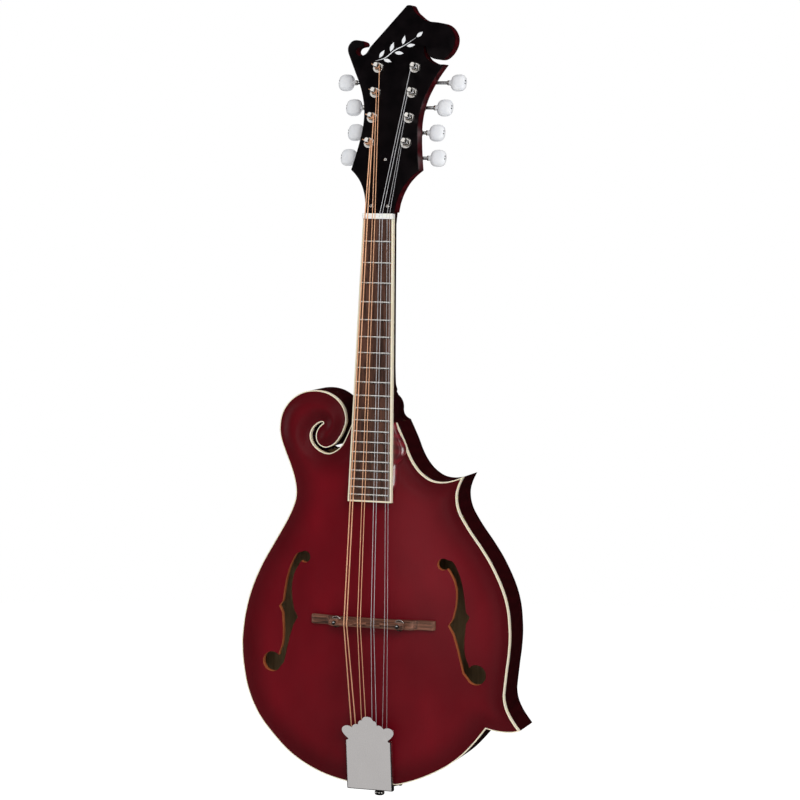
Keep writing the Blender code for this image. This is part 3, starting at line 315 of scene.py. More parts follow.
def pear(x, z):
    lower = np.hypot(x / 122, (z - 140) / 124)
    half = 72 + 50 * (0.5 + 0.5 * np.cos(np.pi * np.clip((z - 140) / 135, 0, 1)))
    return np.where(z < 140, lower, np.abs(x) / half)


def dome(share):
    return 0.5 + 0.5 * np.cos(np.pi * np.minimum(share, 1.0))


def plate_front(x, z):
    """The arch of the soundboard as the bridge and the riser are fitted to it."""
    return -(TOP_ARCH - 7.8 * ramp((z - 185) / 140)) * dome(pear(x, z))


def soundboard_front(x, z, edge):
    """The carved top: arch, recurve inside the binding, and the crest that winds into the scroll."""
    arch = plate_front(x, z) * ramp(edge / 16)
    scroll = ramp((z - 282) / 44) * ramp((-x - 16) / 16)
    crest = SCROLL_RISE * scroll * ramp(edge / 12.5) ** 0.8
    recurve = 0.55 * ramp(edge / 4) * (1 - ramp((edge - 5) / 10))
    return np.minimum(arch, -crest) + recurve * (1 - 0.6 * scroll)


def soundboard_back(x, z, edge):
    rise = TOP_ARCH - 7.8 * ramp((z - 185) / 140) + PLATE_EDGE - TOP_PLATE
    return PLATE_EDGE - rise * (1 - ramp((z - 245) / 48)) * dome(pear(x, z) / 0.93)


def back_outside(x, z, edge):
    arch = BACK_ARCH * (1 - ramp((z - 230) / 105)) * dome(pear(x, z))
    recurve = 0.6 * ramp(edge / 4) * (1 - ramp((edge - 5) / 10)) * (1 - ramp((z - 270) / 40))
    return EDGE_DEPTH + arch * ramp(edge / 10) - recurve


def back_inside(x, z, edge):
    return EDGE_DEPTH - BACK_EDGE + BACK_ARCH * (1 - ramp((z - 215) / 85)) * dome(pear(x, z) / 0.93)


def front_place(x, z, y):
    return (x, y, z)


def board_place(x, s, n):
    """x across, s down the fingerboard from the nut, n into the neck."""
    return (
        x,
        NUT_Y - s * math.sin(NECK_ANGLE) + n * math.cos(NECK_ANGLE),
        NUT_Z - s * math.cos(NECK_ANGLE) - n * math.sin(NECK_ANGLE),
    )


HEAD_ORIGIN = board_place(0, -NUT_LENGTH - 4 * GAP, HEAD_FACE_DEPTH)


def head_place(u, v, h):
    """u across, v up the headstock's face from the nut, h out of its face."""
    return (
        u,
        HEAD_ORIGIN[1] + v * math.sin(HEAD_TILT) - h * math.cos(HEAD_TILT),
        HEAD_ORIGIN[2] + v * math.cos(HEAD_TILT) + h * math.sin(HEAD_TILT),
    )


def head_cut(u, v, h):
    """As head_place, for the headstock's own sides, which run straight back and not square to its face."""
    return head_place(u, v - h * math.tan(HEAD_TILT), h)


def tail_place(x, w, k):
    """x across, w up the tailpiece from the tail, k out of its plate."""
    return (
        x,
        TAIL_Y - w * math.sin(TAIL_ANGLE) - k * math.cos(TAIL_ANGLE),
        TAIL_Z + w * math.cos(TAIL_ANGLE) - k * math.sin(TAIL_ANGLE),
    )


def as_is(a, b, c):
    return (a, b, c)


def moved(place, a, b, c=0.0, out=1):
    """A place with its origin moved, and its last axis turned round when out is -1."""
    return lambda p, q, r: place(a + p, b + q, c + out * r)


def level(height):
    """A flat surface at one height, for sheet."""
    return lambda a, b, edge: 0 * a + height


def times(values, factor):
    return tuple(factor * v for v in values)


def post_v(k):
    """How far up the headstock the k-th pair of posts stands."""
    return FIRST_POST_V + POST_PITCH * k


def board_half(s):
    return 0.5 * (NUT_WIDTH + (BOARD_END_WIDTH - NUT_WIDTH) * s / BOARD_LENGTH)


def fret_distance(number):
    return SCALE_LENGTH * (1 - 2 ** (-number / 12))


def string_xs(course, pair, centre):
    return [centre + (k - 1.5) * course + half * pair for k in range(4) for half in (-0.5, 0.5)]


# ---- Solids, as (vertices, faces) ----


def joined(parts):
    vertices = []
    faces = []
    for more_vertices, more_faces in parts:
        base = len(vertices)
        vertices += list(more_vertices)
        faces += [tuple(i + base for i in face) for face in more_faces]
    return vertices, faces


def grid_faces(rows, columns, closed=True):
    """Quads between rows of points, each row a ring when closed."""
    faces = []
    for k in range(rows - 1):
        for i in range(columns if closed else columns - 1):
            j = (i + 1) % columns
            low, high = k * columns, (k + 1) * columns
            faces.append((low + i, low + j, high + j, high + i))
    return faces


def loft(sections, capped=True):
    """Rings of equal length joined in order, each end closed by a fan from its middle."""
    count = len(sections[0])
    vertices = [tuple(p) for ring in sections for p in ring]
    faces = grid_faces(len(sections), count)
    if capped:
        for first in (0, len(vertices) - count):
            ring = vertices[first : first + count]
            middle = len(vertices)
            vertices.append(tuple(np.mean(ring, axis=0)))
            faces += [(first + i, first + (i + 1) % count, middle) for i in range(count)]
    return vertices, faces


def prism(outline, low, high, place):
    count = len(outline)
    vertices = [place(a, b, low) for a, b in outline] + [place(a, b, high) for a, b in outline]
    faces = [tuple(range(count)), tuple(range(2 * count - 1, count - 1, -1))]
    return vertices, faces + grid_faces(2, count)


def box(low, high, place):
    outline = [(low[0], low[1]), (high[0], low[1]), (high[0], high[1]), (low[0], high[1])]
    return prism(outline, low[2], high[2], place)


def lathe(profile, place, segments=40):
    """A profile of (radius, height) turned about the height axis; radius 0 at an end closes it."""
    rings = []
    vertices = []
    for radius, height in profile:
        if radius == 0:
            rings.append([len(vertices)] * segments)
            vertices.append(place(0, 0, height))
            continue
        rings.append(list(range(len(vertices), len(vertices) + segments)))
        for a in np.linspace(0, TURN, segments, endpoint=False):
            vertices.append(place(radius * math.cos(a), radius * math.sin(a), height))
    faces = []
    for low, high in zip(rings, rings[1:]):
        for i in range(segments):
            j = (i + 1) % segments
            faces.append(tuple(dict.fromkeys((low[i], low[j], high[j], high[i]))))
    return vertices, faces


def surface_of(radius_at, angles, heights, place):
    """A closed tube whose radius depends on the angle and the height, for teeth and threads."""
    return loft([[place(radius_at(a, h) * math.cos(a), radius_at(a, h) * math.sin(a), h) for a in angles]
                 for h in heights])


def sheet(outline, holes, first, second, spacing, place, fine=None):
    """A plate between two surfaces over the outline, with smaller triangles in the box that fine gives.
    Returns the shape, and each face's side: 0 on the first surface, 1 on the second, 2 round the outline,
    3 in a hole."""
    loops = [outline, *holes]
    points = [tuple(p) for loop in loops for p in loop]
    edges = []
    base = 0
    for loop in loops:
        edges += [(base + i, base + (i + 1) % len(loop)) for i in range(len(loop))]
        base += len(loop)
    low, high = np.min(outline, axis=0), np.max(outline, axis=0)
    rows = np.arange(low[1] + spacing / 2, high[1], spacing * 0.866)
    columns = np.arange(low[0], high[0], spacing)
    grid = [(a + (k % 2) * spacing / 2, b) for k, b in enumerate(rows) for a in columns]
    if fine:
        (fx, fz), (gx, gz), step = fine
        grid = [p for p in grid if not (fx < p[0] < gx and fz < p[1] < gz)]
        grid += [(a, b) for b in np.arange(fz, gz, step) for a in np.arange(fx, gx, step)]
    clear = inside(grid, outline)
    nearest = np.min([distances(grid, [*loop, loop[0]]) for loop in loops], axis=0)
    steps = np.array([step if fine and fx < p[0] < gx and fz < p[1] < gz else spacing for p in grid])
    clear &= nearest > steps * 0.4
    for loop in holes:
        clear &= ~inside(grid, loop)
    points += [p for p, good in zip(grid, clear) if good]
    flat, _, triangles, _, _, _ = delaunay_2d_cdt(points, edges, [], 1, 1e-6)
    flat = np.array([tuple(p) for p in flat])
    triangles = np.array(triangles)
    middles = flat[triangles].mean(1)
    keep = inside(middles, outline)
    for loop in holes:
        keep &= ~inside(middles, loop)
    triangles = triangles[keep]
    edge = distances(flat, [*outline, outline[0]])
    a, b = flat[:, 0], flat[:, 1]
    count = len(flat)
    vertices = [place(*p) for p in zip(a, b, first(a, b, edge))]
    vertices += [place(*p) for p in zip(a, b, second(a, b, edge))]
    triangles = [tuple(int(i) for i in t) for t in triangles]
    faces = list(triangles) + [tuple(i + count for i in reversed(t)) for t in triangles]
    sides = [0] * len(triangles) + [1] * len(triangles)
    directed = {(t[i], t[(i + 1) % 3]) for t in triangles for i in range(3)}
    for i, j in directed:
        if (j, i) not in directed:
            faces.append((j, i, i + count, j + count))
            sides.append(2 if edge[i] < 0.01 and edge[j] < 0.01 else 3)
    return (vertices, faces), sides


def tube(route, radius, sides=12, seam=(1.0, 0.0, 0.0)):
    """A round cord along the route."""
    route = [np.array(p, float) for p in route]
    sections = []
    for i, point in enumerate(route):
        ahead = route[min(i + 1, len(route) - 1)] - route[max(i - 1, 0)]
        ahead /= np.linalg.norm(ahead)
        across = np.cross(ahead, seam)
        across /= np.linalg.norm(across)
        other = np.cross(ahead, across)
        sections.append([point + radius * (math.cos(a) * across + math.sin(a) * other)
                         for a in np.linspace(0, TURN, sides, endpoint=False)])
    return loft(sections)


def coil(centre, radius, wire, turns, start_angle, place, rise):
    """A wire wound round an axis, as (vertices, faces)."""
    angles = np.linspace(0, TURN * turns, int(26 * turns))
    start = moved(place, *centre)
    route = [start(radius * math.cos(a + start_angle), radius * math.sin(a + start_angle), rise * a / TURN)
             for a in angles]
    up = np.array(place(0, 0, 1)) - np.array(place(0, 0, 0))
    return tube(route, wire, 8, up)


# ---- Materials ----


class Finish:
    """A Principled material made of procedural nodes, in object space. Each colour step adds to the last."""

    def __init__(self, name, colour, roughness, metallic=0.0, specular=0.5, coat=0.0, coat_roughness=0.3):
        self.made = bpy.data.materials.new(name)
        self.made.use_nodes = True
        self.tree = self.made.node_tree
        self.shader = self.tree.nodes["Principled BSDF"]
        self.feed(self.shader, Base_Color=(*colour, 1.0), Roughness=roughness, Metallic=metallic,
                  Specular_IOR_Level=specular, Coat_Weight=coat, Coat_Roughness=coat_roughness)
        self.place = self.add("ShaderNodeTexCoord").outputs["Object"]
        self.base = colour
        self.normal = None

    def add(self, kind, **settings):
        node = self.tree.nodes.new(kind)
        for key, value in settings.items():
            setattr(node, key, value)
        return node

    def put(self, socket, value):
        """Links another socket to this one, or sets its value."""
        if isinstance(value, bpy.types.NodeSocket):
            self.tree.links.new(value, socket)
        else:
            socket.default_value = value

    def feed(self, node, **values):
        """Sets or links the node's inputs by name, with _ for a space."""
        for key, value in values.items():
            self.put(node.inputs[key.replace("_", " ")], value)

    def scaled(self, size):
        """Object space divided by a size in millimetres along each axis."""
        mapping = self.add("ShaderNodeMapping")
        self.feed(mapping, Vector=self.place, Scale=tuple(1.0 / (s * MM) for s in size))
        return mapping.outputs["Vector"]

    def noise(self, size, detail=3.0, roughness=0.55, distortion=0.0):
        node = self.add("ShaderNodeTexNoise")
        self.feed(node, Vector=self.scaled(size), Scale=1.0, Detail=detail, Roughness=roughness,
                  Distortion=distortion)
        return node.outputs["Fac"]

    def bands(self, size, direction, distortion=0.0, detail=1.0):
        node = self.add("ShaderNodeTexWave", wave_type="BANDS", bands_direction=direction)
        self.feed(node, Vector=self.scaled(size), Scale=TURN / 20, Distortion=distortion, Detail=detail)
        return node.outputs["Fac"]

    def attribute(self, name):
        return self.add("ShaderNodeAttribute", attribute_name=name).outputs["Fac"]

    def levels(self, value, low, high, to_low, to_high):
        node = self.add("ShaderNodeMapRange")
        self.feed(node, Value=value, From_Min=low, From_Max=high, To_Min=to_low, To_Max=to_high)
        return node.outputs["Result"]

    def tint(self, tone, value, low, high, most=1.0):
        """Moves the colour towards a tone as the value goes from low to high."""
        mix = self.add("ShaderNodeMix", data_type="RGBA")
        share, first, second = mix.inputs[0], mix.inputs[6], mix.inputs[7]
        self.put(share, self.levels(value, low, high, 0.0, most))
        self.put(first, (*self.base, 1.0) if isinstance(self.base, tuple) else self.base)
        self.put(second, (*tone, 1.0))
        self.base = mix.outputs[2]
        self.put(self.shader.inputs["Base Color"], self.base)

    def mottle(self, first, second, value, low, high, most=1.0):
        """Starts the colour as a blend of two tones."""
        self.base = first
        self.tint(second, value, low, high, most)

    def wear(self, tone, amount):
        """A tone that shows along sharp outer edges."""
        edge = self.add("ShaderNodeNewGeometry").outputs["Pointiness"]
        self.tint(tuple(min(1.0, c) for c in tone), edge, 0.52, 0.62, amount)

    def subsurface(self, weight, radii):
        """Lets light in under the surface, to these depths in millimetres."""
        self.feed(self.shader, Subsurface_Weight=weight, Subsurface_Radius=times(radii, MM),
                  Subsurface_Scale=1.0)

    def roughness(self, value, low, high):
        self.put(self.shader.inputs["Roughness"], self.levels(value, 0.3, 0.7, low, high))

    def bump(self, height, distance):
        """Adds relief of this many millimetres."""
        node = self.add("ShaderNodeBump")
        self.feed(node, Height=height, Distance=distance * MM, Strength=1.0)
        if self.normal is not None:
            self.feed(node, Normal=self.normal)
        self.normal = node.outputs["Normal"]
        self.feed(self.shader, Normal=self.normal)


def red_spruce():
    made = Finish("lacquered_spruce", (0.12, 0.003, 0.008), 0.38, specular=0.22, coat=0.1,
                  coat_roughness=0.32)
    grain = made.bands((1.25, 1.25, 60), "X", 3.0, 2.0)
    made.mottle((0.112, 0.0011, 0.0052), (0.178, 0.0019, 0.0082), made.noise((60, 60, 90), 2.0), 0.3, 0.7)
    made.tint((0.090, 0.0009, 0.0042), grain, 0.35, 1.0, 0.28)
    made.tint((0.075, 0.0008, 0.0036), made.noise((0.5, 0.5, 14), 3.0), 0.55, 0.8, 0.35)
    # The rim mark darkens the top towards its edge: partly the lacquer's own burst, partly painted shade.
    made.tint((0.040, 0.0006, 0.0022), made.attribute("rim"), 0.0, 1.0, 0.62)
    made.roughness(made.noise((9, 9, 16), 4.0), 0.34, 0.42)
    made.bump(made.noise((2.2, 2.2, 2.2), 2.0), 0.03)
    made.bump(grain, 0.012)
    return made.made


def red_maple(name, lighter, gloss=0.0):
    """Flamed maple under the same wine lacquer; a larger lighter paints light into a lit copy of it."""
    made = Finish(name, (0.05, 0.002, 0.004), 0.34, specular=0.15 + 0.4 * gloss, coat=0.05 + 0.7 * gloss,
                  coat_roughness=0.28 - 0.16 * gloss)
    dark, light = times((0.013, 0.0004, 0.0010), lighter), times((0.025, 0.0007, 0.0018), lighter)
    grain = made.noise((0.7, 6, 22), 4.0)
    made.mottle(dark, light, made.bands((7, 7, 9), "Z", 6.0, 2.0), 0.2, 0.9, 0.8)
    made.tint((0.017, 0.0007, 0.0014), grain, 0.5, 0.75, 0.5)
    made.tint((0.020, 0.0008, 0.0017), made.noise((40, 40, 40), 2.0), 0.45, 0.75, 0.6)
    made.wear((0.13, 0.008, 0.012), 0.1)
    made.roughness(made.noise((8, 8, 14), 4.0), 0.30, 0.42)
    made.bump(made.noise((2.4, 2.4, 2.4), 2.0), 0.025)
    made.bump(grain, 0.01)
    return made.made


def bare_wood(name, light, dark, size):
    made = Finish(name, light, 0.72, specular=0.25)
    fibre = made.noise(times(size, 0.22), 3.0)
    made.mottle(light, dark, made.noise(size, 5.0, 0.6, 0.4), 0.35, 0.7)
    made.tint(times(dark, 0.6), fibre, 0.55, 0.8, 0.6)
    made.roughness(fibre, 0.6, 0.85)
    made.bump(fibre, 0.05)
    return made.made


def rosewood(name, along, lighter=1.0):
    """Rosewood whose grain runs along one axis, x or z."""
    made = Finish(name, (0.06, 0.028, 0.018), 0.40, specular=0.4, coat=0.12 * lighter, coat_roughness=0.3)
    size = (60, 2.6, 2.6) if along == "x" else (2.6, 2.6, 60)
    fine = made.noise(times(size, 0.16), 3.0, 0.6)
    pore = made.noise((5.0, 0.28, 0.28) if along == "x" else (0.28, 0.28, 5.0), 1.0)
    pale = times((0.135, 0.056, 0.034), lighter)
    made.mottle((0.030, 0.013, 0.009), pale, made.noise(size, 5.0, 0.62, 0.6), 0.36, 0.68)
    made.tint((0.19, 0.085, 0.048), fine, 0.56, 0.8, 0.6)
    made.tint((0.010, 0.005, 0.004), pore, 0.62, 0.7, 0.85)
    made.wear((0.26, 0.14, 0.09), 0.4)
    made.roughness(fine, 0.36, 0.56)
    made.bump(made.levels(pore, 0.6, 0.7, 1.0, 0.0), 0.05)
    made.bump(fine, 0.03)
    return made.made


def black_lacquer(name, roughness):
    made = Finish(name, (0.003, 0.0022, 0.0028), roughness, specular=0.28)
    haze = made.noise((12, 12, 12), 4.0)
    made.mottle((0.0020, 0.0014, 0.0018), (0.0042, 0.0026, 0.0032), haze, 0.35, 0.65)
    made.wear((0.035, 0.030, 0.030), 0.5)
    made.roughness(haze, roughness - 0.05, roughness + 0.07)
    made.bump(made.noise((1.8, 1.8, 1.8), 2.0), 0.02)
    return made.made


def cream_plastic(name, light, dark, roughness):
    made = Finish(name, light, roughness, specular=0.45)
    made.subsurface(0.12, (1.2, 0.8, 0.4))
    streak = made.noise((3, 3, 40), 4.0)
    made.mottle(light, dark, streak, 0.35, 0.75, 0.55)
    made.tint(dark, made.noise((26, 26, 26), 2.0), 0.45, 0.75, 0.5)
    made.roughness(streak, roughness - 0.05, roughness + 0.08)
    made.bump(streak, 0.02)
    return made.made


def metal(name, light, dark, roughness):
    made = Finish(name, light, roughness, metallic=1.0)
    patch = made.noise((7, 7, 7), 4.0)
    made.mottle(light, dark, patch, 0.4, 0.75, 0.7)
    made.wear(times(light, 1.15), 0.6)
    made.roughness(patch, roughness * 0.8, roughness * 1.3)
    made.bump(made.noise((0.5, 0.5, 6), 2.0), 0.006)
    return made.made


def sheet_metal(name, light, dark):
    """Plated sheet, drawn and lightly buffed along its length."""
    made = Finish(name, light, 0.27, metallic=1.0)
    streak = made.noise((0.5, 4, 30), 3.0)
    made.mottle(light, dark, made.noise((22, 22, 22), 2.0), 0.35, 0.75, 0.5)
    made.wear(times(light, 1.2), 0.6)
    made.roughness(streak, 0.262, 0.278)
    made.bump(streak, 0.0003)
    return made.made


def string_metal(name, light, dark):
    """Drawn or wound wire: bright, a little tarnished in patches along its length."""
    made = Finish(name, light, 0.38, metallic=0.5)
    tarnish = made.noise((3, 3, 14), 3.0)
    made.mottle(light, dark, tarnish, 0.42, 0.75, 0.8)
    made.roughness(tarnish, 0.32, 0.46)
    made.bump(made.bands((0.5, 0.5, 0.5), "Z"), 0.004)
    return made.made


def pearl():
    made = Finish("pearloid", (0.70, 0.72, 0.75), 0.24, specular=0.45, coat=0.25, coat_roughness=0.15)
    made.subsurface(0.1, (1.5, 1.5, 1.6))
    swirl = made.noise((6.5, 6.5, 6.5), 3.0, 0.5, 1.8)
    made.mottle((0.87, 0.88, 0.90), (0.77, 0.79, 0.825), swirl, 0.4, 0.7)
    made.tint((0.92, 0.93, 0.95), made.noise((2.2, 2.2, 5.0), 2.0, 0.5, 1.0), 0.55, 0.75, 0.5)
    made.roughness(swirl, 0.2, 0.32)
    return made.made


def plain(name, colour, roughness):
    made = Finish(name, colour, roughness, specular=0.3)
    grit = made.noise((0.6, 0.6, 0.6), 2.0)
    made.mottle(colour, times(colour, 0.7), grit, 0.4, 0.7)
    made.bump(grit, 0.02)
    return made.made


RED_TOP = red_spruce()
RED_MAPLE = red_maple("lacquered_maple", 0.75)
# The headstock's copy of the lacquer is painted lighter, as lit from the upper right: painted light.
HEAD_MAPLE_PAINTED_LIT = red_maple("lacquered_head_maple_painted_lit", 3.8, 0.3)
# The riser's copy is glossy and far lighter: the gloss is its own, the lighter red is painted light.
RISER_MAPLE_PAINTED_LIT = red_maple("polished_riser_maple_painted_lit", 5.0, 1.0)
SPRUCE = bare_wood("bare_spruce", (0.52, 0.34, 0.17), (0.34, 0.19, 0.085), (1.6, 6, 40))
CUT_EDGE = bare_wood("stained_cut_edge", (0.50, 0.16, 0.055), (0.30, 0.06, 0.02), (2.5, 1.2, 9))
INNER_MAPLE = bare_wood("bare_maple", (0.36, 0.25, 0.13), (0.25, 0.16, 0.08), (2.0, 8, 50))
BLOCK_WOOD = bare_wood("bare_block_wood", (0.42, 0.26, 0.13), (0.28, 0.15, 0.07), (3, 3, 40))
BOARD_WOOD = rosewood("rosewood_board", "z")
BRIDGE_WOOD = rosewood("rosewood_bridge", "x", 2.3)
BLACK = black_lacquer("black_face_lacquer", 0.34)
BLACK_PLASTIC = black_lacquer("black_cover_plastic", 0.24)
CREAM = cream_plastic("cream_celluloid", (0.92, 0.84, 0.66), (0.88, 0.77, 0.55), 0.3)
BONE = cream_plastic("white_synthetic_bone", (0.90, 0.89, 0.85), (0.82, 0.80, 0.73), 0.32)
NICKEL = metal("polished_nickel", (0.80, 0.77, 0.73), (0.66, 0.63, 0.59), 0.14)
SATIN_NICKEL = sheet_metal("satin_nickel_sheet", (0.74, 0.71, 0.70), (0.69, 0.66, 0.65))
FRET_WIRE = sheet_metal("nickel_silver_fret", (0.84, 0.82, 0.78), (0.74, 0.71, 0.66))
STEEL = metal("plain_steel", (0.66, 0.66, 0.67), (0.50, 0.49, 0.49), 0.22)
STRING_STEEL = string_metal("steel_string", (0.80, 0.80, 0.83), (0.62, 0.61, 0.62))
BRONZE = string_metal("bronze_wound_string", (0.98, 0.55, 0.33), (0.78, 0.38, 0.20))
PEARL = pearl()
# Flat near-black: painted shade for screw recesses, slots and stud holes, and also on the button pins.
DARK_PINS_AND_SHADE = plain("dark_pins_and_recess_shade", (0.012, 0.011, 0.010), 0.6)
FELT_BLACK = plain("side_dot_black", (0.015, 0.013, 0.012), 0.35)


# ---- Pieces ----


def world(v):
    """A point in metres in the shared frame. Nothing reaches past the solids' own box."""
    at = (v[0] * MM, (v[1] - BUTTON_Y) * MM, v[2] * MM)
    return tuple(min(max(c, low), high) for c, low, high in zip(at, *CAD_BOUNDS))


def bake(obj, kind, **settings):
    """Runs one modifier on the object and keeps its result."""
    modifier = obj.modifiers.new(kind.lower(), kind)
    for key, value in settings.items():
        setattr(modifier, key, value)
    bpy.context.view_layer.update()
    graph = bpy.context.evaluated_depsgraph_get()
    obj.data = bpy.data.meshes.new_from_object(obj.evaluated_get(graph))
    obj.modifiers.clear()


def piece(name, shape, finish, body="root", stands_for=(), bevel=0.0, angle=35, sides=None, marks=None,
          segments=2):
    """A mesh piece from a shape in millimetres, riding on a body and standing for CAD nodes. sides picks
    each face's finish, marks is a dict of numbers stored on the vertices, and bevel rounds sharp edges."""
    vertices, faces = shape
    mesh = bpy.data.meshes.new(name)
    mesh.from_pydata([world(v) for v in vertices], [], faces)
    for one in finish if isinstance(finish, list) else [finish]:
        mesh.materials.append(one)
    if sides is not None:
        mesh.polygons.foreach_set("material_index", sides)
    for key, values in (marks or {}).items():
        stored = mesh.attributes.new(key, "FLOAT", "POINT")
        stored.data.foreach_set("value", np.asarray(values, np.float32))
    work = bmesh.new()
    work.from_mesh(mesh)
    bmesh.ops.remove_doubles(work, verts=work.verts, dist=1e-7)
    bmesh.ops.recalc_face_normals(work, faces=work.faces)
    work.to_mesh(mesh)
    work.free()
    obj = bpy.data.objects.new(name, mesh)
    bpy.context.scene.collection.objects.link(obj)
    if bevel:
        bake(obj, "BEVEL", width=bevel * MM, segments=segments, limit_method="ANGLE",
             angle_limit=BEVELLED_ANGLE, use_clamp_overlap=True)
    obj.data.shade_smooth()
    obj.data.set_sharp_from_angle(angle=math.radians(angle))
    if bevel:
        bake(obj, "WEIGHTED_NORMAL", keep_sharp=True)
    if stands_for:
        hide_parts(*stands_for)
    if body:
        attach(obj, body)
    return obj


def repaint(node, finish):
    """A CAD node whose shape is right keeps it and takes a better finish."""
    slots = frame["nodes"][node].data.materials
    for i in range(len(slots)):
        slots[i] = finish
    if not len(slots):
        slots.append(finish)


# ---- Body ----


def f_hole():
    lower_eye = arc(EYE_LOW[:2], EYE_LOW[2], 135, -155, 40)
    upper_eye = arc(EYE_TOP[:2], EYE_TOP[2], -48, -300, 30)
    clockwise = (
        upper_eye
        + smooth([upper_eye[-1], *F_OUTER])[1:]
        + [F_OUTER_NICK]
        + smooth([*F_OUTER_LOW, lower_eye[0]])
        + lower_eye[1:]
        + smooth([*F_INNER_LOW])
        + [F_INNER_NICK]
        + smooth(F_INNER)
    )
    return clockwise[::-1]


def mirrored(outline):
    return [(-x, z) for x, z in reversed(outline)]


def make_soundboard(path):
    outline = inset(path, BINDING_WIDTH)
    hole = f_hole()
    fine = ((-90, 300), (-22, 364), 1.5)
    shape, sides = sheet(outline, [hole, mirrored(hole)], soundboard_front, soundboard_back, 3.2,
                         front_place, fine)
    from_rim = distances([(v[0], v[2]) for v in shape[0]], path)
    # rim grows towards the edge, where the top is painted darker: partly its burst, partly painted shade.
    rim = 1 - ramp((from_rim - 2) / 26)
    piece("soundboard_carved", shape, [RED_TOP, SPRUCE, SPRUCE, CUT_EDGE],
          stands_for=["soundboard"], sides=sides, marks={"rim": rim}, angle=40)


def make_binding(path):
    outline = path + inset(path, BINDING_WIDTH)[::-1]
    shape, _ = sheet(outline, [], level(0), level(PLATE_EDGE), 50.0, front_place)
    piece("body_binding_celluloid", shape, CREAM, stands_for=["top_binding"], bevel=0.3)


def make_ribs(path):
    outline = path + inset(path, RIB_THICKNESS)[::-1]
    front, back = PLATE_EDGE + 0.05, EDGE_DEPTH - BACK_EDGE - 0.05
    shape, _ = sheet(outline, [], level(front), level(back), 50.0, front_place)
    piece("ribs_bent_maple", shape, RED_MAPLE, stands_for=["ribs"])


def make_back(path):
    fillet = smooth([(17.8, NECK_LINE), (15.6, 338.0), (13.4, 339.8), (11.9, 342.2), (11.3, 345.0)], 5)[1:]
    button = arc((BUTTON_X, BUTTON_Z), HEEL_BUTTON_RADIUS, -8, 188, 60)
    button = fillet + button + [(2 * BUTTON_X - x, z) for x, z in reversed(fillet)]
    shape, sides = sheet(path + button, [], back_inside, back_outside, 3.6, front_place)
    heights = [np.mean([shape[0][i][2] for i in face]) for face in shape[1]]
    sides = [1 if height > NECK_LINE - 2 else side for height, side in zip(heights, sides)]
    piece("back_carved_maple", shape, [INNER_MAPLE, RED_MAPLE, RED_MAPLE],
          stands_for=["back_plate"], sides=sides, bevel=0.7, angle=50)


def make_linings(path):
    """Kerfed strips as rows of short separate blocks, glued inside the ribs at both plates."""
    start = next(i for i, p in enumerate(path) if p[0] < -60 and p[1] < BLOCK_LINE - 6)
    end = max(i for i, p in enumerate(path) if p[0] > 43 and p[1] < BLOCK_LINE - 6)
    line = np.array(path[start : end + 1])
    steps = np.linalg.norm(np.diff(line, axis=0), axis=1)
    along = np.concatenate([[0], np.cumsum(steps)])
    inner = EDGE_DEPTH - BACK_EDGE

    def point(where):
        return np.array([np.interp(where, along, line[:, 0]), np.interp(where, along, line[:, 1])])

    for name, glued, free in (("lining_top", PLATE_EDGE + 0.1, PLATE_EDGE + LINING_HEIGHT),
                              ("lining_back", inner - 0.1, inner - LINING_HEIGHT)):
        blocks = []
        for at in np.arange(2.0, along[-1] - 7.0, LINING_PITCH):
            rows = []
            for where in (at, at + LINING_BLOCK):
                p, ahead = point(where), point(where + 0.5) - point(where)
                ahead /= max(np.linalg.norm(ahead), 1e-9)
                left = np.array([-ahead[1], ahead[0]])
                a, b = p + left * (RIB_THICKNESS + 0.1), p + left * (RIB_THICKNESS + LINING_WIDTH)
                rows.append([(a[0], glued, a[1]), (b[0], glued, b[1]),
                             (b[0], glued + 0.35 * (free - glued), b[1]), (a[0], free, a[1])])
            if min(distances([row[1][::2] for row in rows], path)) > RIB_THICKNESS + LINING_WIDTH - 1.0:
                blocks.append(loft(rows))
        piece(f"kerfed_{name}", joined(blocks), SPRUCE, stands_for=[name])


# ---- Neck and headstock ----


def half_round(power):
    """Across and down a half ring, rounder or squarer by its power."""
    return [(math.copysign(abs(math.cos(a)) ** power, math.cos(a)), abs(math.sin(a)) ** power)
            for a in np.linspace(0, math.pi, 41)]


def neck_section(s, top, depth, squareness, taper, lean=0.0):
    """A ring across the neck: flat at the fingerboard, rounded behind, its back moved over by lean."""
    half = board_half(max(s, 0.0))
    ring = []
    for side, drop in half_round(2 / squareness):
        x = half * side * (1 - taper * drop**2) + lean * drop
        ring.append(np.array(board_place(x, s, top + depth * drop)))
    return ring


def face_normal(shape, face):
    """The direction a face of a shape looks in, by Newell's sum round its edge."""
    ring = np.array([shape[0][i] for i in face], float)
    total = np.cross(ring, np.roll(ring, -1, axis=0)).sum(axis=0)
    return total / max(float(np.linalg.norm(total)), 1e-9)


def heel_slimness(t):
    """How far the heel's back draws in: to the button over it, and out again to meet the ribs."""
    share = (t - HEEL_FULL) / (1 - HEEL_FULL)
    round_top = 0.28 + 0.34 * (1 - min(max(share, 0.0) / 0.35, 1.0)) ** 2
    return round_top * float(ramp(min(t / HEEL_FULL, 1.0) ** 7)) * (1 - float(ramp((t - 0.87) / 0.13)))


def head_section(v, half, low):
    """A ring across the headstock in the same order as a neck section."""
    return [np.array(head_place(half * side, v, -VENEER - (low - VENEER) * drop))
            for side, drop in half_round(HEAD_SQUARENESS)]


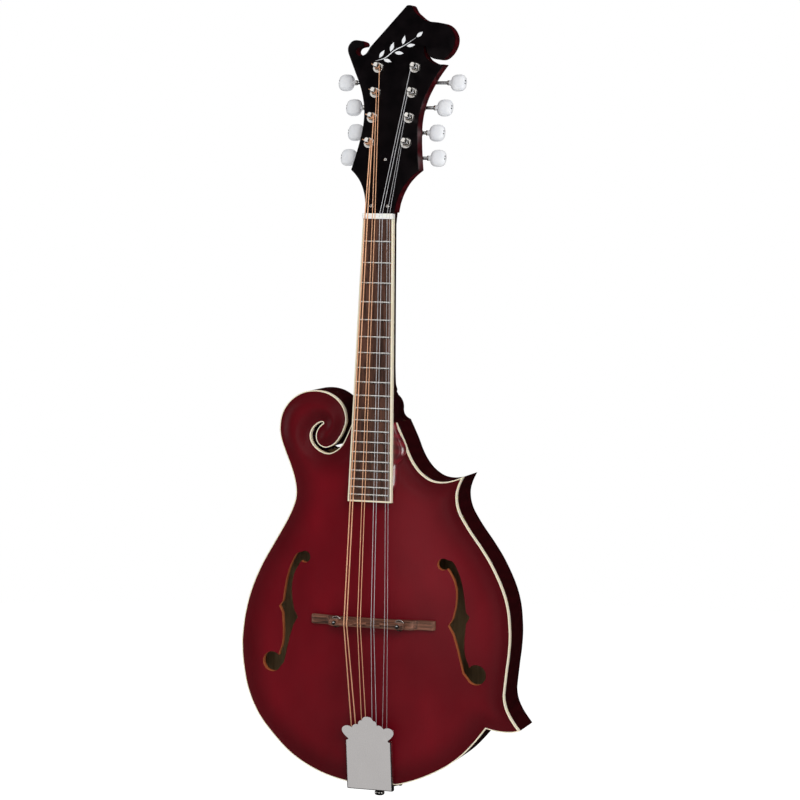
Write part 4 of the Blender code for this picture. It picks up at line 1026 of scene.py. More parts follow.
def neck_shaft():
    top = BOARD_THICKNESS
    joint = (NUT_Z - NECK_LINE - GAP) / math.cos(NECK_ANGLE)
    sections = []
    start = neck_section(4.0, top, NECK_DEPTH, NECK_SQUARENESS, 0.0)
    finish = head_section(21.0, 13.2, HEAD_THICKNESS - 0.25)
    crossing = head_section(0.0, 13.3, HEAD_THICKNESS - 1.0)
    for t in np.linspace(1, 0, 15):
        sections.append([(1 - t) ** 2 * a + 2 * t * (1 - t) * m + t * t * b
                         for a, m, b in zip(start, crossing, finish)])
    for s in np.linspace(6.0, HEEL_START, 26):
        sections.append(neck_section(s, top, NECK_DEPTH + 2.0 * s / HEEL_START, NECK_SQUARENESS, 0.0))
    start_depth = NECK_DEPTH + 2.0
    to_full = [*np.linspace(0.04, 0.3, 8), *np.linspace(0.32, HEEL_FULL, 16)]
    for t in [*to_full, *np.linspace(HEEL_FULL + 0.015, 0.93, 24), 1.0]:
        s = HEEL_START + (joint - HEEL_START) * t
        at_top = board_place(0, s, top)[1]
        full = (HEEL_BACK_Y - at_top) / math.cos(NECK_ANGLE)
        rise = min(t / HEEL_FULL, 1.0)
        depth = start_depth + (full - start_depth) * (0.15 * rise + 0.85 * rise**8)
        flare = float(ramp(rise**7))
        squareness = NECK_SQUARENESS + (HEEL_SQUARENESS - NECK_SQUARENESS) * flare
        ring = neck_section(s, top, depth, squareness, heel_slimness(t), BUTTON_X * flare)
        low = NECK_LINE + (0.4 if t < 1 else 0.0)
        sections.append([np.array((p[0], p[1], low if t == 1 else max(p[2], low))) for p in ring])
    return loft(sections)


def headstock_outline():
    treble = [(13.4, 0), (14.2, 9), (16.6, 18.5), (20.6, 27.2), (25.8, 34.2), (31.2, 39.2)]
    treble_edge = [
        (31.2, 39.2), (29.4, 49), (26.8, 66), (25.4, 82), (26.2, 96), (28.8, 108), (32.8, 118.5), (37.2, 128),
        (43.2, 138.2),
    ]
    slot = [(43.2, 138.2), (37.6, 138.3), (32.5, 140), (27.2, 143.4), (23.9, 148.8), (22.8, 155)]
    lobe = [
        (24.6, 155), (26.9, 149.3), (30.4, 145), (35.8, 142.9), (42, 143.3), (47, 147.9), (50.2, 154.8),
        (50.7, 161.8), (48.9, 167.5), (45.3, 172.6), (40.4, 176.1), (34.2, 177.8), (23.6, 179.1), (18.4, 181.3),
        (14.2, 184.6), (10.2, 188.2), (6.8, 193.6),
    ]
    curl = [
        (-28.2, 152.4), (-30.4, 148.6), (-33.6, 146.7), (-37, 146.9), (-39.9, 148.8), (-40.5, 151.6),
        (-38.9, 154), (-36, 155), (-33.8, 155.2),
    ]
    curl_back = [
        (-33.8, 155.2), (-33, 157.2), (-34.8, 159.7), (-40.4, 161.4), (-45, 160.2), (-47.8, 155.6),
        (-47.6, 150.6), (-44.8, 144.2),
    ]
    bass_edge = [
        (-44.8, 144.2), (-38.2, 130.6), (-32.6, 119), (-28.6, 108), (-25.8, 96), (-24.8, 82), (-26.2, 66),
        (-29, 49), (-31, 39.2),
    ]
    bass = [(-31, 39.2), (-25.8, 34.2), (-20.6, 27.2), (-16.6, 18.5), (-14.2, 9), (-13.4, 0)]
    outline = smooth(treble, 5)
    for stretch in (treble_edge, slot):
        outline += smooth(stretch, 5)[1:]
    outline += arc((23.7, 155.0), 0.9, 160, 20, 4)
    outline += smooth(lobe, 5) + [(5.4, 194.7), (3.6, 194.6), (2.4, 194.2), (-27.4, 154.6)]
    for stretch in (curl, curl_back, bass_edge, bass):
        outline += smooth(stretch, 5)[0 if stretch is curl else 1 :]
    return outline


def head_holes(radius):
    return [arc((side * POST_U, post_v(k)), radius, 0, 352.5, 47) for side in (-1, 1) for k in range(4)]


def make_neck():
    outline = headstock_outline()
    head, _ = sheet(outline, [], level(-VENEER - 0.02), level(-HEAD_THICKNESS), 9.0, head_cut)
    piece("neck_carved_maple", neck_shaft(), RED_MAPLE, stands_for=["neck"], angle=50)
    # Faces that look back keep the plain maple; the sides take the lighter copy, which is painted light.
    rear = [int(face_normal(head, f)[1] > 0.6) for f in head[1]]
    piece("headstock_carved_maple", head, [HEAD_MAPLE_PAINTED_LIT, RED_MAPLE], bevel=0.9,
          segments=3, sides=rear)
    riser = smooth([
        (18.8, 337.6), (21.4, 329.5), (25.0, 323.0), (27.6, 317.5), (28.5, 313.6), (27.8, 309.2), (25.0, 305.0),
        (21.6, 301.4),
    ], 6) + smooth([(21.2, 300.0), (21.0, 284.0), (17.0, 276.5), (0.0, 274.0), (-17.0, 276.5), (-19.4, 284.0),
                    (-20.0, 312.0), (-18.4, 326.0), (-17.6, 337.6)], 6)

    def under_board(x, z, edge):
        flat = NUT_Y - (NUT_Z - z) * math.tan(NECK_ANGLE) + BOARD_THICKNESS / math.cos(NECK_ANGLE)
        lip = np.clip(1 - edge / RISER_ROUNDING, 0, 1)
        return flat + 0.1 + RISER_ROUNDING * 0.9 * (1 - np.sqrt(1 - lip**2))

    def on_top(x, z, edge):
        return plate_front(x, np.minimum(z, NECK_LINE)) + 2.0

    shape, _ = sheet(riser, [], under_board, on_top, 1.6, front_place)
    # The riser takes the much lighter, polished copy of the lacquer, its lightness painted light.
    piece("fingerboard_riser", shape, RISER_MAPLE_PAINTED_LIT, angle=60)


def make_headstock_face():
    shape, sides = sheet(headstock_outline(), head_holes(3.4), level(0), level(-VENEER), 9.0, head_cut)
    piece("headstock_face_veneer", shape, [BLACK, BLACK, RED_MAPLE, BLACK],
          stands_for=["headstock_veneer"], sides=sides, bevel=0.35)
    make_inlay()


def leaf(centre, length, width, angle):
    """A pointed leaf outline, for the plain vine inlay."""
    c, s = math.cos(math.radians(angle)), math.sin(math.radians(angle))
    outline = []
    for side, stations in ((1, np.linspace(0, 1, 15)), (-1, np.linspace(1, 0, 15))):
        for t in stations[:-1]:
            a, b = length * (t - 0.5), side * width * math.sin(math.pi * t) * (1 - 0.35 * t)
            outline.append((centre[0] + a * c - b * s, centre[1] + a * s + b * c))
    return outline


def make_inlay():
    """A small slanted vine of pearl leaves let into the headstock's face."""
    stem = smooth([(-20.5, 141.5), (-12, 144.5), (-4, 151.5), (5, 156.5), (14.5, 163.5)], 8)
    middle = np.array(stem)
    ahead = np.gradient(middle, axis=0)
    ahead /= np.linalg.norm(ahead, axis=1)[:, None]
    left = np.stack([-ahead[:, 1], ahead[:, 0]], 1)
    width = 0.45 * np.sin(np.linspace(0.25, math.pi - 0.1, len(middle)))[:, None]
    ribbon = [tuple(p) for p in middle + left * width] + [tuple(p) for p in (middle - left * width)[::-1]]
    leaves = [leaf(*one) for one in (
        ((-15.5, 148.2), 8.5, 2.0, 62), ((-9.5, 141.8), 8.0, 1.9, -18), ((-6.8, 154.8), 9.0, 2.1, 78),
        ((0.6, 149.0), 8.5, 2.0, -4), ((3.4, 161.4), 8.5, 2.0, 84), ((10.6, 156.2), 8.0, 1.9, 8),
        ((17.6, 166.6), 7.5, 2.1, 44))]
    parts = [prism(one, -0.3, 0.04, head_place) for one in (ribbon, *leaves)]
    piece("headstock_vine_inlay", joined(parts), PEARL)


def screw(centre, radius, place, rise):
    """A domed screw head, centre at the surface it sits on."""
    profile = [(0, -1.0), (radius * 0.6, -1.0), (radius, 0.0), (radius, rise * 0.35),
               (radius * 0.85, rise * 0.75), (radius * 0.55, rise * 0.95), (0, rise)]
    return lathe(profile, moved(place, *centre), 28)


def screw_cross(centre, radius, place, rise, turned):
    """A screw's cross recess as a flat dark cross a hair proud of its head: painted shade, not a cut."""
    parts = []
    for angle in (turned, turned + math.pi / 2):
        c, s = math.cos(angle), math.sin(angle)
        long, short = radius * 0.6, radius * 0.13

        def at(a, b, h, c=c, s=s):
            return place(centre[0] + a * c - b * s, centre[1] + a * s + b * c, centre[2] + h)

        parts.append(box((-long, -short, rise * 0.7), (long, short, rise + 0.03), at))
    return joined(parts)


def make_screws(name, spots, radius, place, rise, turned, turned_on=0.0):
    """Screws with their cross recesses, each turned on a little from the one before."""
    heads = [screw(spot, radius, place, rise) for spot in spots]
    slots = [screw_cross(spot, radius, place, rise, turned + i * turned_on) for i, spot in enumerate(spots)]
    piece(f"{name}_screws", joined(heads), NICKEL)
    piece(f"{name}_screw_slots", joined(slots), DARK_PINS_AND_SHADE)


def make_truss_cover():
    side = smooth([(11.0, 1.0), (11.0, 8.0), (8.4, 15.0), (5.8, 23.0), (4.6, 32.0), (4.6, 41.0), (5.6, 47.0),
                   (4.0, 51.5), (0.0, 53.5)], 6)
    outline = side + [(-u, v) for u, v in reversed(side[:-1])]
    shape, _ = sheet(outline, [], level(2.1), level(0.05), 6.0, head_place)
    piece("truss_cover_bell", shape, BLACK_PLASTIC, stands_for=["truss_rod_cover"], bevel=0.45,
          segments=3)
    spots = [(0.5, 48.2, 2.1), (-7.6, 5.2, 2.1), (7.8, 5.2, 2.1)]
    make_screws("truss_cover", spots, 1.6, head_place, 0.7, 0.4)


def make_nut():
    """The nut: a rounded block with a half-round slot for each string."""
    half = NUT_WIDTH / 2
    top = [(-half, -NUT_RISE + 0.5), (-half + 0.5, -NUT_RISE)]
    for x, radius in zip(string_xs(COURSE_AT_NUT, PAIR_AT_NUT, 0.0), STRING_RADII):
        wide = radius + 0.06
        bottom = NUT_SLOT - radius
        top.append((x - wide, -NUT_RISE))
        top += [(x + wide * math.cos(a), bottom + wide * math.sin(a)) for a in np.linspace(math.pi, 0, 9)]
        top.append((x + wide, -NUT_RISE))
    top += [(half - 0.5, -NUT_RISE), (half, -NUT_RISE + 0.5)]
    outline = [(-half, BOARD_THICKNESS), *top, (half, BOARD_THICKNESS)]
    shape = prism(outline, -NUT_LENGTH - GAP + 0.15, -0.05, lambda x, n, s: board_place(x, s, n))
    piece("nut_slotted", shape, BONE, stands_for=["nut"], bevel=0.12)


def make_fingerboard():
    """The rosewood board, its twenty frets as separate wire, and its binding."""
    end = BOARD_LENGTH - BOARD_BINDING
    sections = []
    for s in np.linspace(0.0, end, 60):
        half = board_half(s) - BOARD_BINDING
        across = [(x, 0.0) for x in np.linspace(-half, half, 9)]
        ring = across + [(half, BOARD_THICKNESS), (-half, BOARD_THICKNESS)]
        sections.append([board_place(x, s, n) for x, n in ring])
    piece("fingerboard_rosewood", loft(sections), BOARD_WOOD, stands_for=["fingerboard"])
    wires = []
    for number in range(1, FRETS + 1):
        s = fret_distance(number)
        half = board_half(s) - BOARD_BINDING
        sections = []
        for x in (-half, -half + 0.5, -half + 1.0, 0.0, half - 1.0, half - 0.5, half):
            crown = 0.25 if abs(x) > half - 0.1 else (0.75 if abs(x) > half - 0.6 else 1.0)
            arch = [(s + 1.0 * math.cos(a), -0.95 * crown * math.sin(a)) for a in np.linspace(0, math.pi, 11)]
            sections.append([board_place(x, t, n) for t, n in [*arch, (s - 0.9, 0.5), (s + 0.9, 0.5)]])
        wires.append(loft(sections))
    piece("fret_wires", joined(wires), FRET_WIRE, angle=50)
    inner = BOARD_BINDING
    start, wide = board_half(0), board_half(BOARD_LENGTH)
    outline = [
        (-start, 0.0), (-wide, BOARD_LENGTH), (wide, BOARD_LENGTH), (start, 0.0),
        (start - inner, 0.0), (wide - inner, BOARD_LENGTH - inner), (-wide + inner, BOARD_LENGTH - inner),
        (-start + inner, 0.0),
    ]
    edging = prism(outline, 0.0, BOARD_THICKNESS, board_place)
    piece("fingerboard_edge_binding", edging, CREAM, stands_for=["fingerboard_binding"],
          bevel=0.28)
    dots = []
    for number in SIDE_DOTS:
        s = 0.5 * (fret_distance(number) + fret_distance(number - 1))
        for shift in ((-2.4, 2.4) if number == 12 else (0.0,)):
            def at(a, b, c, middle=s + shift):
                return board_place(c - board_half(middle), middle + a, 2.6 + b)

            dots.append(lathe([(0, 0.3), (0.95, 0.3), (0.95, -0.03), (0, -0.05)], at, 20))
    piece("side_dots", joined(dots), FELT_BLACK)


# ---- Tuners ----


def tuner_names():
    return [(f"{word}_{k + 1}", side, k) for word, side in (("bass", -1), ("treble", 1)) for k in range(4)]


def make_tuner_plate(name, side):
    low, high = post_v(0) - 15.0, post_v(3) + 11.0
    right = smooth([(17.1, low - 3.5), (20.8, low), (24.2, low + 6.0), (24.2, high - 6.0), (20.8, high),
                    (17.1, high + 3.0)], 6)
    left = [(2 * POST_U - u, v) for u, v in reversed(right[1:-1])]
    outline = [(side * u, v) for u, v in right + left][::side]
    holes = [arc((side * POST_U, post_v(k)), 3.5, 0, 350, 35) for k in range(4)]
    top = -HEAD_THICKNESS - 0.05
    plate, _ = sheet(outline, holes, level(top), level(top - 1.1), 6.0, head_place)
    parts = []
    for k in range(4):
        v = post_v(k) - WORM_DROP
        outer = [(v - 2.9, top - 0.6), (v - 2.9, WORM_H)]
        outer += [(v + p, WORM_H + q) for p, q in arc((0, 0), 2.9, 180, 360, 14)]
        outer += [(v + 2.9, top - 0.6)]
        hole = [(v + p, WORM_H + q) for p, q in arc((0, 0), 1.85, 0, 345, 23)]
        for u in (10.3, 23.0):
            first, second = sorted((side * u, side * (u + 1.0)))
            tab, _ = sheet(outer, [hole], level(first), level(second), 9.0,
                           lambda v, h, u: head_place(u, v, h))
            parts.append(tab)
    piece(f"{name}_stamped", plate, NICKEL, stands_for=[name], bevel=0.25)
    piece(f"{name}_bearings", joined(parts), NICKEL, bevel=0.15)
    heights = (post_v(0) - 14.3, *(post_v(k + 0.5) + 0.7 for k in range(3)), post_v(3) + 9.8)
    behind = moved(head_place, 0, 0, top - 1.1, -1)
    make_screws(name, [(side * POST_U, v, 0) for v in heights], 1.7, behind, 0.8, 0.3, 1.0)


def along_shaft(side, v):
    """A place round the worm shaft at v, its last axis along the shaft and out from the headstock."""
    return lambda a, b, c: head_place(side * c, v + a, WORM_H + b)


def make_tuner(name, side, k, finish):
    u, v = side * POST_U, post_v(k)
    gauge = STRING_RADII[[i for i in range(8) if string_post_of(i) == (side, k)][0]]
    on_post = moved(head_place, u, v)
    profile = [
        (0, -18.4), (POST_RADIUS, -18.4), (POST_RADIUS, 1.3), (2.75, 1.7), (2.75, 2.5), (2.45, 2.9), (2.1, 3.3),
        (2.05, 4.6), (2.1, 6.1), (2.45, 6.4), (2.6, 6.7), (2.62, 7.9), (2.45, 8.5), (1.9, 8.85), (0, 9.0),
    ]
    piece(f"post_{name}_turned", lathe(profile, on_post, 36), NICKEL, f"post_{name}",
          [f"string_post_{name}"], angle=30)

    def tooth(a, h):
        waist = 1 - 0.045 * math.sin(math.pi * (h - GEAR_LOW) / (GEAR_HIGH - GEAR_LOW))
        return (3.72 + 0.5 * float(ramp(0.5 + 1.5 * math.cos(GEAR_TEETH * a)))) * waist

    wheel = surface_of(tooth, np.linspace(0, TURN, GEAR_TEETH * 8, endpoint=False),
                       np.linspace(GEAR_LOW, GEAR_HIGH, 7), on_post)
    piece(f"gear_{name}_toothed", wheel, NICKEL, f"post_{name}", angle=50)
    behind_gear = moved(head_place, u, v, GEAR_LOW, -1)
    piece(f"gear_{name}_screw", screw((0, 0, 0), 2.1, behind_gear, 0.9), NICKEL, f"post_{name}")
    # The screw's slot is a dark bar on its head: painted shade, not a cut.
    slot = box((-2.0, -0.25, 0.6), (2.0, 0.25, 0.94), behind_gear)
    piece(f"gear_{name}_screw_slot", slot, DARK_PINS_AND_SHADE, f"post_{name}")
    turns = 2.5 if gauge > 0.3 else 4.2
    rise = 2.1 * gauge
    start = STRING_LEVEL - rise * turns * 0.5
    wound = coil((0, 0, start), 2.08 + gauge, gauge, turns, 0.0 if side > 0 else math.pi, on_post, rise)
    through = [on_post(0, 0, 6.25), on_post(side * 2.4, 0.4, 6.25), on_post(side * 4.4, 0.9, 6.7)]
    tail = tube(through, gauge, 8)
    piece(f"string_coil_{name}", joined([wound, tail]), finish, f"post_{name}")
    worm_v, out = v - WORM_DROP, BUTTON_U[k]
    on_shaft = along_shaft(side, worm_v)
    shaft = [(0, 9.0), (1.3, 9.0), (SHAFT_RADIUS, 9.3), (SHAFT_RADIUS, 12.6), (SHAFT_RADIUS, 21.6),
             (SHAFT_RADIUS, out - 6.0), (1.2, out - 5.6), (1.2, out - 1.6), (0, out - 1.6)]
    pitch = TURN * 4.25 / GEAR_TEETH

    def thread(a, h):
        fade = float(ramp((h - 12.7) / 0.5) * ramp((21.4 - h) / 0.5))
        return 1.62 + 0.6 * fade * float(ramp(0.5 + 0.9 * math.cos(TURN * (h / pitch - side * a / TURN))))

    worm = surface_of(thread, np.linspace(0, TURN, 24, endpoint=False), np.linspace(12.6, 21.5, 76), on_shaft)
    piece(f"worm_{name}_cut", joined([lathe(shaft, on_shaft, 24), worm]), STEEL, f"tuner_{name}",
          [f"worm_shaft_{name}"], angle=40)
    make_button(name, side, k, worm_v)


def make_button(name, side, k, v):
    """A flattened round pearl button on a collar, with two small pins in its outer rim."""
    centre = BUTTON_U[k]
    body = []
    for a in np.linspace(-math.pi / 2, math.pi / 2, 25):
        radius = BUTTON_RADIUS * abs(math.cos(a)) ** 0.62 if abs(math.cos(a)) > 1e-6 else 0
        body.append((radius, BUTTON_HALF_THICKNESS * math.copysign(abs(math.sin(a)) ** 0.9, math.sin(a))))

    def on_button(a, b, c):
        turn = math.atan2(b, a)
        power = BUTTON_SQUARENESS
        square = (abs(math.cos(turn)) ** power + abs(math.sin(turn)) ** power) ** (-1 / power)
        return head_place(side * (centre + 0.94 * a * square), v + b * square, WORM_H + c)

    on_shaft = along_shaft(side, v)
    collar = [(1.62, centre - 8.8), (2.1, centre - 8.8), (2.3, centre - 8.5), (2.3, centre - 7.9),
              (2.8, centre - 6.6), (1.62, centre - 6.0)]
    parts = [lathe(body, on_button, 56), lathe([*collar, collar[0]], on_shaft, 28)]
    piece(f"button_{name}_pearl", joined(parts), PEARL, f"tuner_{name}", [f"tuner_button_{name}"],
          angle=60)

    def on_rim(a, b, c):
        out = c * math.cos(PIN_LIFT) - b * math.sin(PIN_LIFT)
        front = c * math.sin(PIN_LIFT) + b * math.cos(PIN_LIFT)
        return head_place(side * (centre + out), v + a, WORM_H + front)

    pin = [(0, 5.6), (0.6, 5.6), (0.6, 7.1), (0, 7.2)]
    pins = [lathe(pin, moved(on_rim, shift, 0), 14) for shift in (-1.25, 1.25)]
    piece(f"button_{name}_pins", joined(pins), DARK_PINS_AND_SHADE, f"tuner_{name}")
    ferrule = [(1.62, centre - 10.2), (2.15, centre - 10.2), (2.3, centre - 9.9), (2.3, centre - 9.1),
               (2.15, centre - 8.8), (1.62, centre - 8.8)]
    piece(f"button_{name}_ferrule", lathe([*ferrule, ferrule[0]], on_shaft, 28), NICKEL,
          f"tuner_{name}")


def make_bushings():
    """The pressed-in bushings round the posts, each with a stepped flange on the headstock's face."""
    profile = [(3.05, -3.0), (3.38, -3.0), (3.38, 0.02), (4.95, 0.02), (5.0, 0.35), (4.8, 0.75),
               (4.1, 1.0), (3.9, 1.25), (3.3, 1.3), (3.05, 1.1), (3.05, -3.0)]
    parts = [lathe(profile, moved(head_place, side * POST_U, post_v(k)), 44)
             for side in (-1, 1) for k in range(4)]
    piece("post_bushings", joined(parts), NICKEL, angle=30)


def string_post_of(index):
    """The outer strings run to the posts nearest the nut."""
    return (-1, index) if index < 4 else (1, 7 - index)


# ---- Bridge ----


def bridge_top(x):
    """The top edge of the bridge base: a flat middle scooped down to thin ends."""
    out = np.abs(x - BRIDGE_X)
    return BASE_TOP + 5.2 * ramp((out - 36.5) / 6.5)


def rounded_ring(points, radius, steps=4):
    """The corners of a closed ring of (a, b) points rounded off."""
    points = [np.array(p, float) for p in points]
    ring = []
    for before, here, after in zip([points[-1], *points], points, [*points[1:], points[0]]):
        to_before, to_after = before - here, after - here
        reach = min(radius, 0.45 * np.linalg.norm(to_before), 0.45 * np.linalg.norm(to_after))
        start = here + to_before / np.linalg.norm(to_before) * reach
        end = here + to_after / np.linalg.norm(to_after) * reach
        for t in np.linspace(0, 1, steps + 1):
            ring.append((1 - t) ** 2 * start + 2 * t * (1 - t) * here + t * t * end)
    return ring


def make_bridge_base():
    half = BASE_WIDTH / 2
    offsets = np.concatenate([np.linspace(-BASE_HALF_LENGTH, -54.0, 9), np.linspace(-53.0, 53.0, 107),
                              np.linspace(54.0, BASE_HALF_LENGTH, 9)])
    rings = []
    for offset in offsets:
        x = BRIDGE_X + offset
        near_end = max(0.0, abs(offset) - 54.0) / (BASE_HALF_LENGTH - 54.0)
        narrow = half * (1 - 0.05 * near_end**2)
        under = [float(plate_front(np.array(x), np.array(BRIDGE_Z + s * narrow))) - 0.12 for s in (-1, 1)]
        top = float(bridge_top(x)) + 1.3 * near_end**2
        ring = rounded_ring([(under[0], -narrow), (under[1], narrow), (top, narrow), (top, -narrow)], 1.0)
        rings.append([(x, y, BRIDGE_Z + w) for y, w in ring])
    piece("bridge_foot_carved", loft(rings), BRIDGE_WOOD, stands_for=["bridge_base"], angle=60)


def make_saddle():
    """The saddle: a round-ended bar with a stepped crest that puts each course at its own length."""
    half = SADDLE_HALF_WIDTH
    left, right = SADDLE_X - SADDLE_HALF_LENGTH, SADDLE_X + SADDLE_HALF_LENGTH
    rings = []
    edges = [STRING_MIDDLE + (k - 1.5) * COURSE_AT_SADDLE + 0.5 * COURSE_AT_SADDLE for k in range(-1, 4)]
    edges[0] -= 1.2
    edges[4] += 1.2
    stations = {left, right, left + 0.15, right - 0.15}
    stations |= set(np.linspace(left, left + half, 8)) | set(np.linspace(right - half, right, 8))
    stations |= set(np.arange(left + half, right - half, 1.0))
    for edge in edges:
        stations |= {edge - 0.5, edge - 0.2, edge, edge + 0.2, edge + 0.5}
    for x in sorted(stations):
        from_end = min(x - left, right - x)
        wide = half if from_end > half else math.sqrt(max(half**2 - (half - from_end) ** 2, 0.04))
        k = int(np.clip(np.searchsorted(edges, x) - 1, 0, 3))
        crest = BRIDGE_Z - COMPENSATION[2 * k] + 0.4
        if abs(x - SADDLE_X) > STUD_SPREAD:
            crest = BRIDGE_Z + (crest - BRIDGE_Z) * 0.6
        top = SADDLE_SHELF + 0.5 - (SADDLE_SHELF + 0.5 - SADDLE_TOP + GAP) * float(ramp(from_end / 7.0))
        inside_crest = edges[0] < x < edges[4]
        foot = 1.4 if inside_crest else 1.0
        shelf = SADDLE_SHELF + 0.9 if inside_crest else (SADDLE_SHELF + 0.9 + top) / 2
        crown = 0.55
        low, high = BRIDGE_Z - wide, BRIDGE_Z + wide
        ring = [
            (SADDLE_BOTTOM - 0.3, low), (SADDLE_BOTTOM, low + 0.3), (SADDLE_BOTTOM, high - 0.3),
            (SADDLE_BOTTOM - 0.3, high), (shelf + 0.3, high), (shelf, high - 0.35),
            (shelf - 0.15, min(crest + foot, high - 0.4)),
            (top + 0.5, min(crest + crown + 0.35, high - 0.45)),
            (top + 0.08, crest + crown * 0.8), (top, crest + 0.1), (top + 0.08, crest - crown * 0.8),
            (top + 0.5, max(crest - crown - 0.35, low + 0.45)), (shelf - 0.15, max(crest - foot, low + 0.4)),
            (shelf, low + 0.35), (shelf + 0.3, low),
        ]
        rings.append([(x, y, min(max(z, low), high)) for y, z in ring])
    piece("saddle_stepped", loft(rings), BRIDGE_WOOD, "saddle", ["bridge_saddle"], angle=45)


def make_bridge_hardware():
    for name, side in (("bass", -1), ("treble", 1)):
        x = SADDLE_X + side * STUD_SPREAD

        def upright(a, b, c, x=x):
            return (x + a, c, BRIDGE_Z + b)

        low, high = SADDLE_BOTTOM + GAP, SADDLE_BOTTOM + GAP + WHEEL_THICKNESS
        heights = [low, low + 0.25, low + 0.5, high - 0.5, high - 0.25, high]
        knurl = surface_of(
            lambda a, h: (WHEEL_RADIUS - 0.16 - 0.15 * math.cos(WHEEL_TEETH * a))
            - (0.3 if h in (low, high) else 0.0),
            np.linspace(0, TURN, 192, endpoint=False), heights, upright)
        piece(f"thumbwheel_{name}_knurled", knurl, NICKEL, f"wheel_{name}",
              [f"bridge_thumbwheel_{name}"], angle=40)
        stud = surface_of(
            lambda a, h: STUD_RADIUS - 0.12 + 0.1 * math.cos(a - TURN * h / 0.8) - (0.35 if h < -24.5 else 0.0),
            np.linspace(0, TURN, 18, endpoint=False), np.linspace(-24.7, -12.8, 90), upright)
        face = SADDLE_TOP - GAP
        # The well is a flat dark cup round the stud's tip: painted shade of the stud's hole in the saddle.
        well = [(0, face + 1.6), (1.75, face + 1.6), (1.75, face - 0.02), (1.5, face - 0.06),
                (0, face - 0.06)]
        piece(f"stud_well_{name}", lathe(well, upright, 28), DARK_PINS_AND_SHADE, "saddle", angle=40)
        tip = [(0, face + 1.0), (1.0, face + 1.0), (1.0, face - 0.12), (0.7, face - 0.3), (0, face - 0.34)]
        piece(f"stud_tip_{name}", lathe(tip, upright, 24), STEEL, angle=50)
        piece(f"stud_{name}_threaded", stud, STEEL, stands_for=[f"bridge_stud_{name}"], angle=50)


# ---- Tailpiece ----


def cover_outline():
    right = [(19.6, 42.4), (19.6, 43.3), (19.3, 43.5), (18.6, 43.9)]
    right += smooth([(18.2, 44.9), (21, 47.2), (23.6, 50.7), (23.8, 53.8), (21.7, 56), (18.2, 56.7),
                     (14.8, 55.5)], 9)
    for scallop in ([(14.8, 55.5), (13.3, 57.3), (10.9, 58.6), (8.6, 58.2)],
                    [(8.6, 58.2), (8.4, 60.4), (7.2, 61.9), (5.2, 62.4)],
                    [(5.2, 62.4), (4.2, 64.4), (2.2, 65.7), (0, 66)]):
        right += smooth(scallop, 9)[1:]
    return right + [(-x, w) for x, w in reversed(right[:-1])]


def make_cover():
    """The slide-off cover: one sheet bent down at both sides and at the tail, scalloped at the top."""
    half = COVER_HALF_WIDTH

    def section(w, drop):
        """A ring across the sheet at w, its flat lowered by drop where the sheet turns down at the tail."""
        foot = 1.0
        flat = COVER_TOP - drop
        round_by = min(COVER_CORNER, (flat - foot) * 0.5)
        outer = [(-half, foot)]
        outer += [(-half + round_by + p, flat - round_by + q) for p, q in arc((0, 0), round_by, 180, 90, 9)]
        outer += [(x, flat) for x in np.linspace(-half + round_by, half - round_by, 15)[1:-1]]
        outer += [(half - round_by + p, flat - round_by + q) for p, q in arc((0, 0), round_by, 90, 0, 9)]
        outer += [(half, foot)]
        thin = COVER_SHEET
        inner = [(x - math.copysign(thin, x) if abs(x) > half - round_by else x, max(k - thin, foot))
                 for x, k in reversed(outer)]
        return [tail_place(x, w, k) for x, k in outer + inner]

    bent = [section(w, 0.0) for w in (COVER_SHOULDER, 43.2, 30.0, 20.0, 10.0, 2.0, LIP_W + LIP_RADIUS)]
    for a in np.linspace(0, math.pi / 2, 12)[1:-1]:
        bent.append(section(LIP_W + LIP_RADIUS * (1 - math.sin(a)), LIP_RADIUS * (1 - math.cos(a))))
    piece("cover_bent_sheet", loft(bent), SATIN_NICKEL, "cover", ["tailpiece_cover"], angle=50)
    wall = [(-half + 0.2, 0.2), (half - 0.2, 0.2), (half - 0.2, 3.6), (half - 0.7, 4.1), (-half + 0.7, 4.1),
            (-half + 0.2, 3.6)]
    walls = [[tail_place(x, w, k) for x, k in wall] for w in (LIP_W, LIP_W + COVER_SHEET)]
    piece("cover_tail_wall", loft(walls), SATIN_NICKEL, "cover", bevel=0.15, angle=50)
    low, high = COVER_TOP - COVER_SHEET, COVER_TOP - 0.01
    top, _ = sheet(cover_outline(), [], level(low), level(high), 7.0, tail_place)
    piece("cover_scalloped_end", top, SATIN_NICKEL, "cover", bevel=0.18, angle=50)


def make_tailpiece():
    repaint("tailpiece_frame", NICKEL)
    parts = []
    for k, x in enumerate(string_xs(COURSE_AT_TAIL, PAIR_AT_TAIL, 0.0)):
        w = 34.0 if k % 2 else 42.0
        route = [tail_place(x, w + 0.6, 0.6), tail_place(x, w + 0.6, 2.2), tail_place(x, w + 0.1, 3.0),
                 tail_place(x, w - 0.9, 3.3)]
        parts.append(tube(route, 0.62, 10))
    piece("string_hooks_bent", joined(parts), NICKEL)
    profile = [(0, 0.0), (3.2, 0.0), (3.9, 0.25), (4.4, 0.8), (4.6, 1.7), (4.55, 2.7), (4.2, 3.5), (3.5, 4.0),
               (3.0, 4.5), (2.75, 5.4), (2.8, 6.8), (3.3, 8.2), (4.1, 9.2), (4.4, 9.9), (4.4, 11.4), (2.9, 11.6),
               (2.6, 12.2), (2.6, 31.5), (0, 31.5)]
    piece("end_button_turned", lathe(profile, moved(as_is, 0, BUTTON_Y), 64), NICKEL,
          stands_for=["end_button"], angle=50)


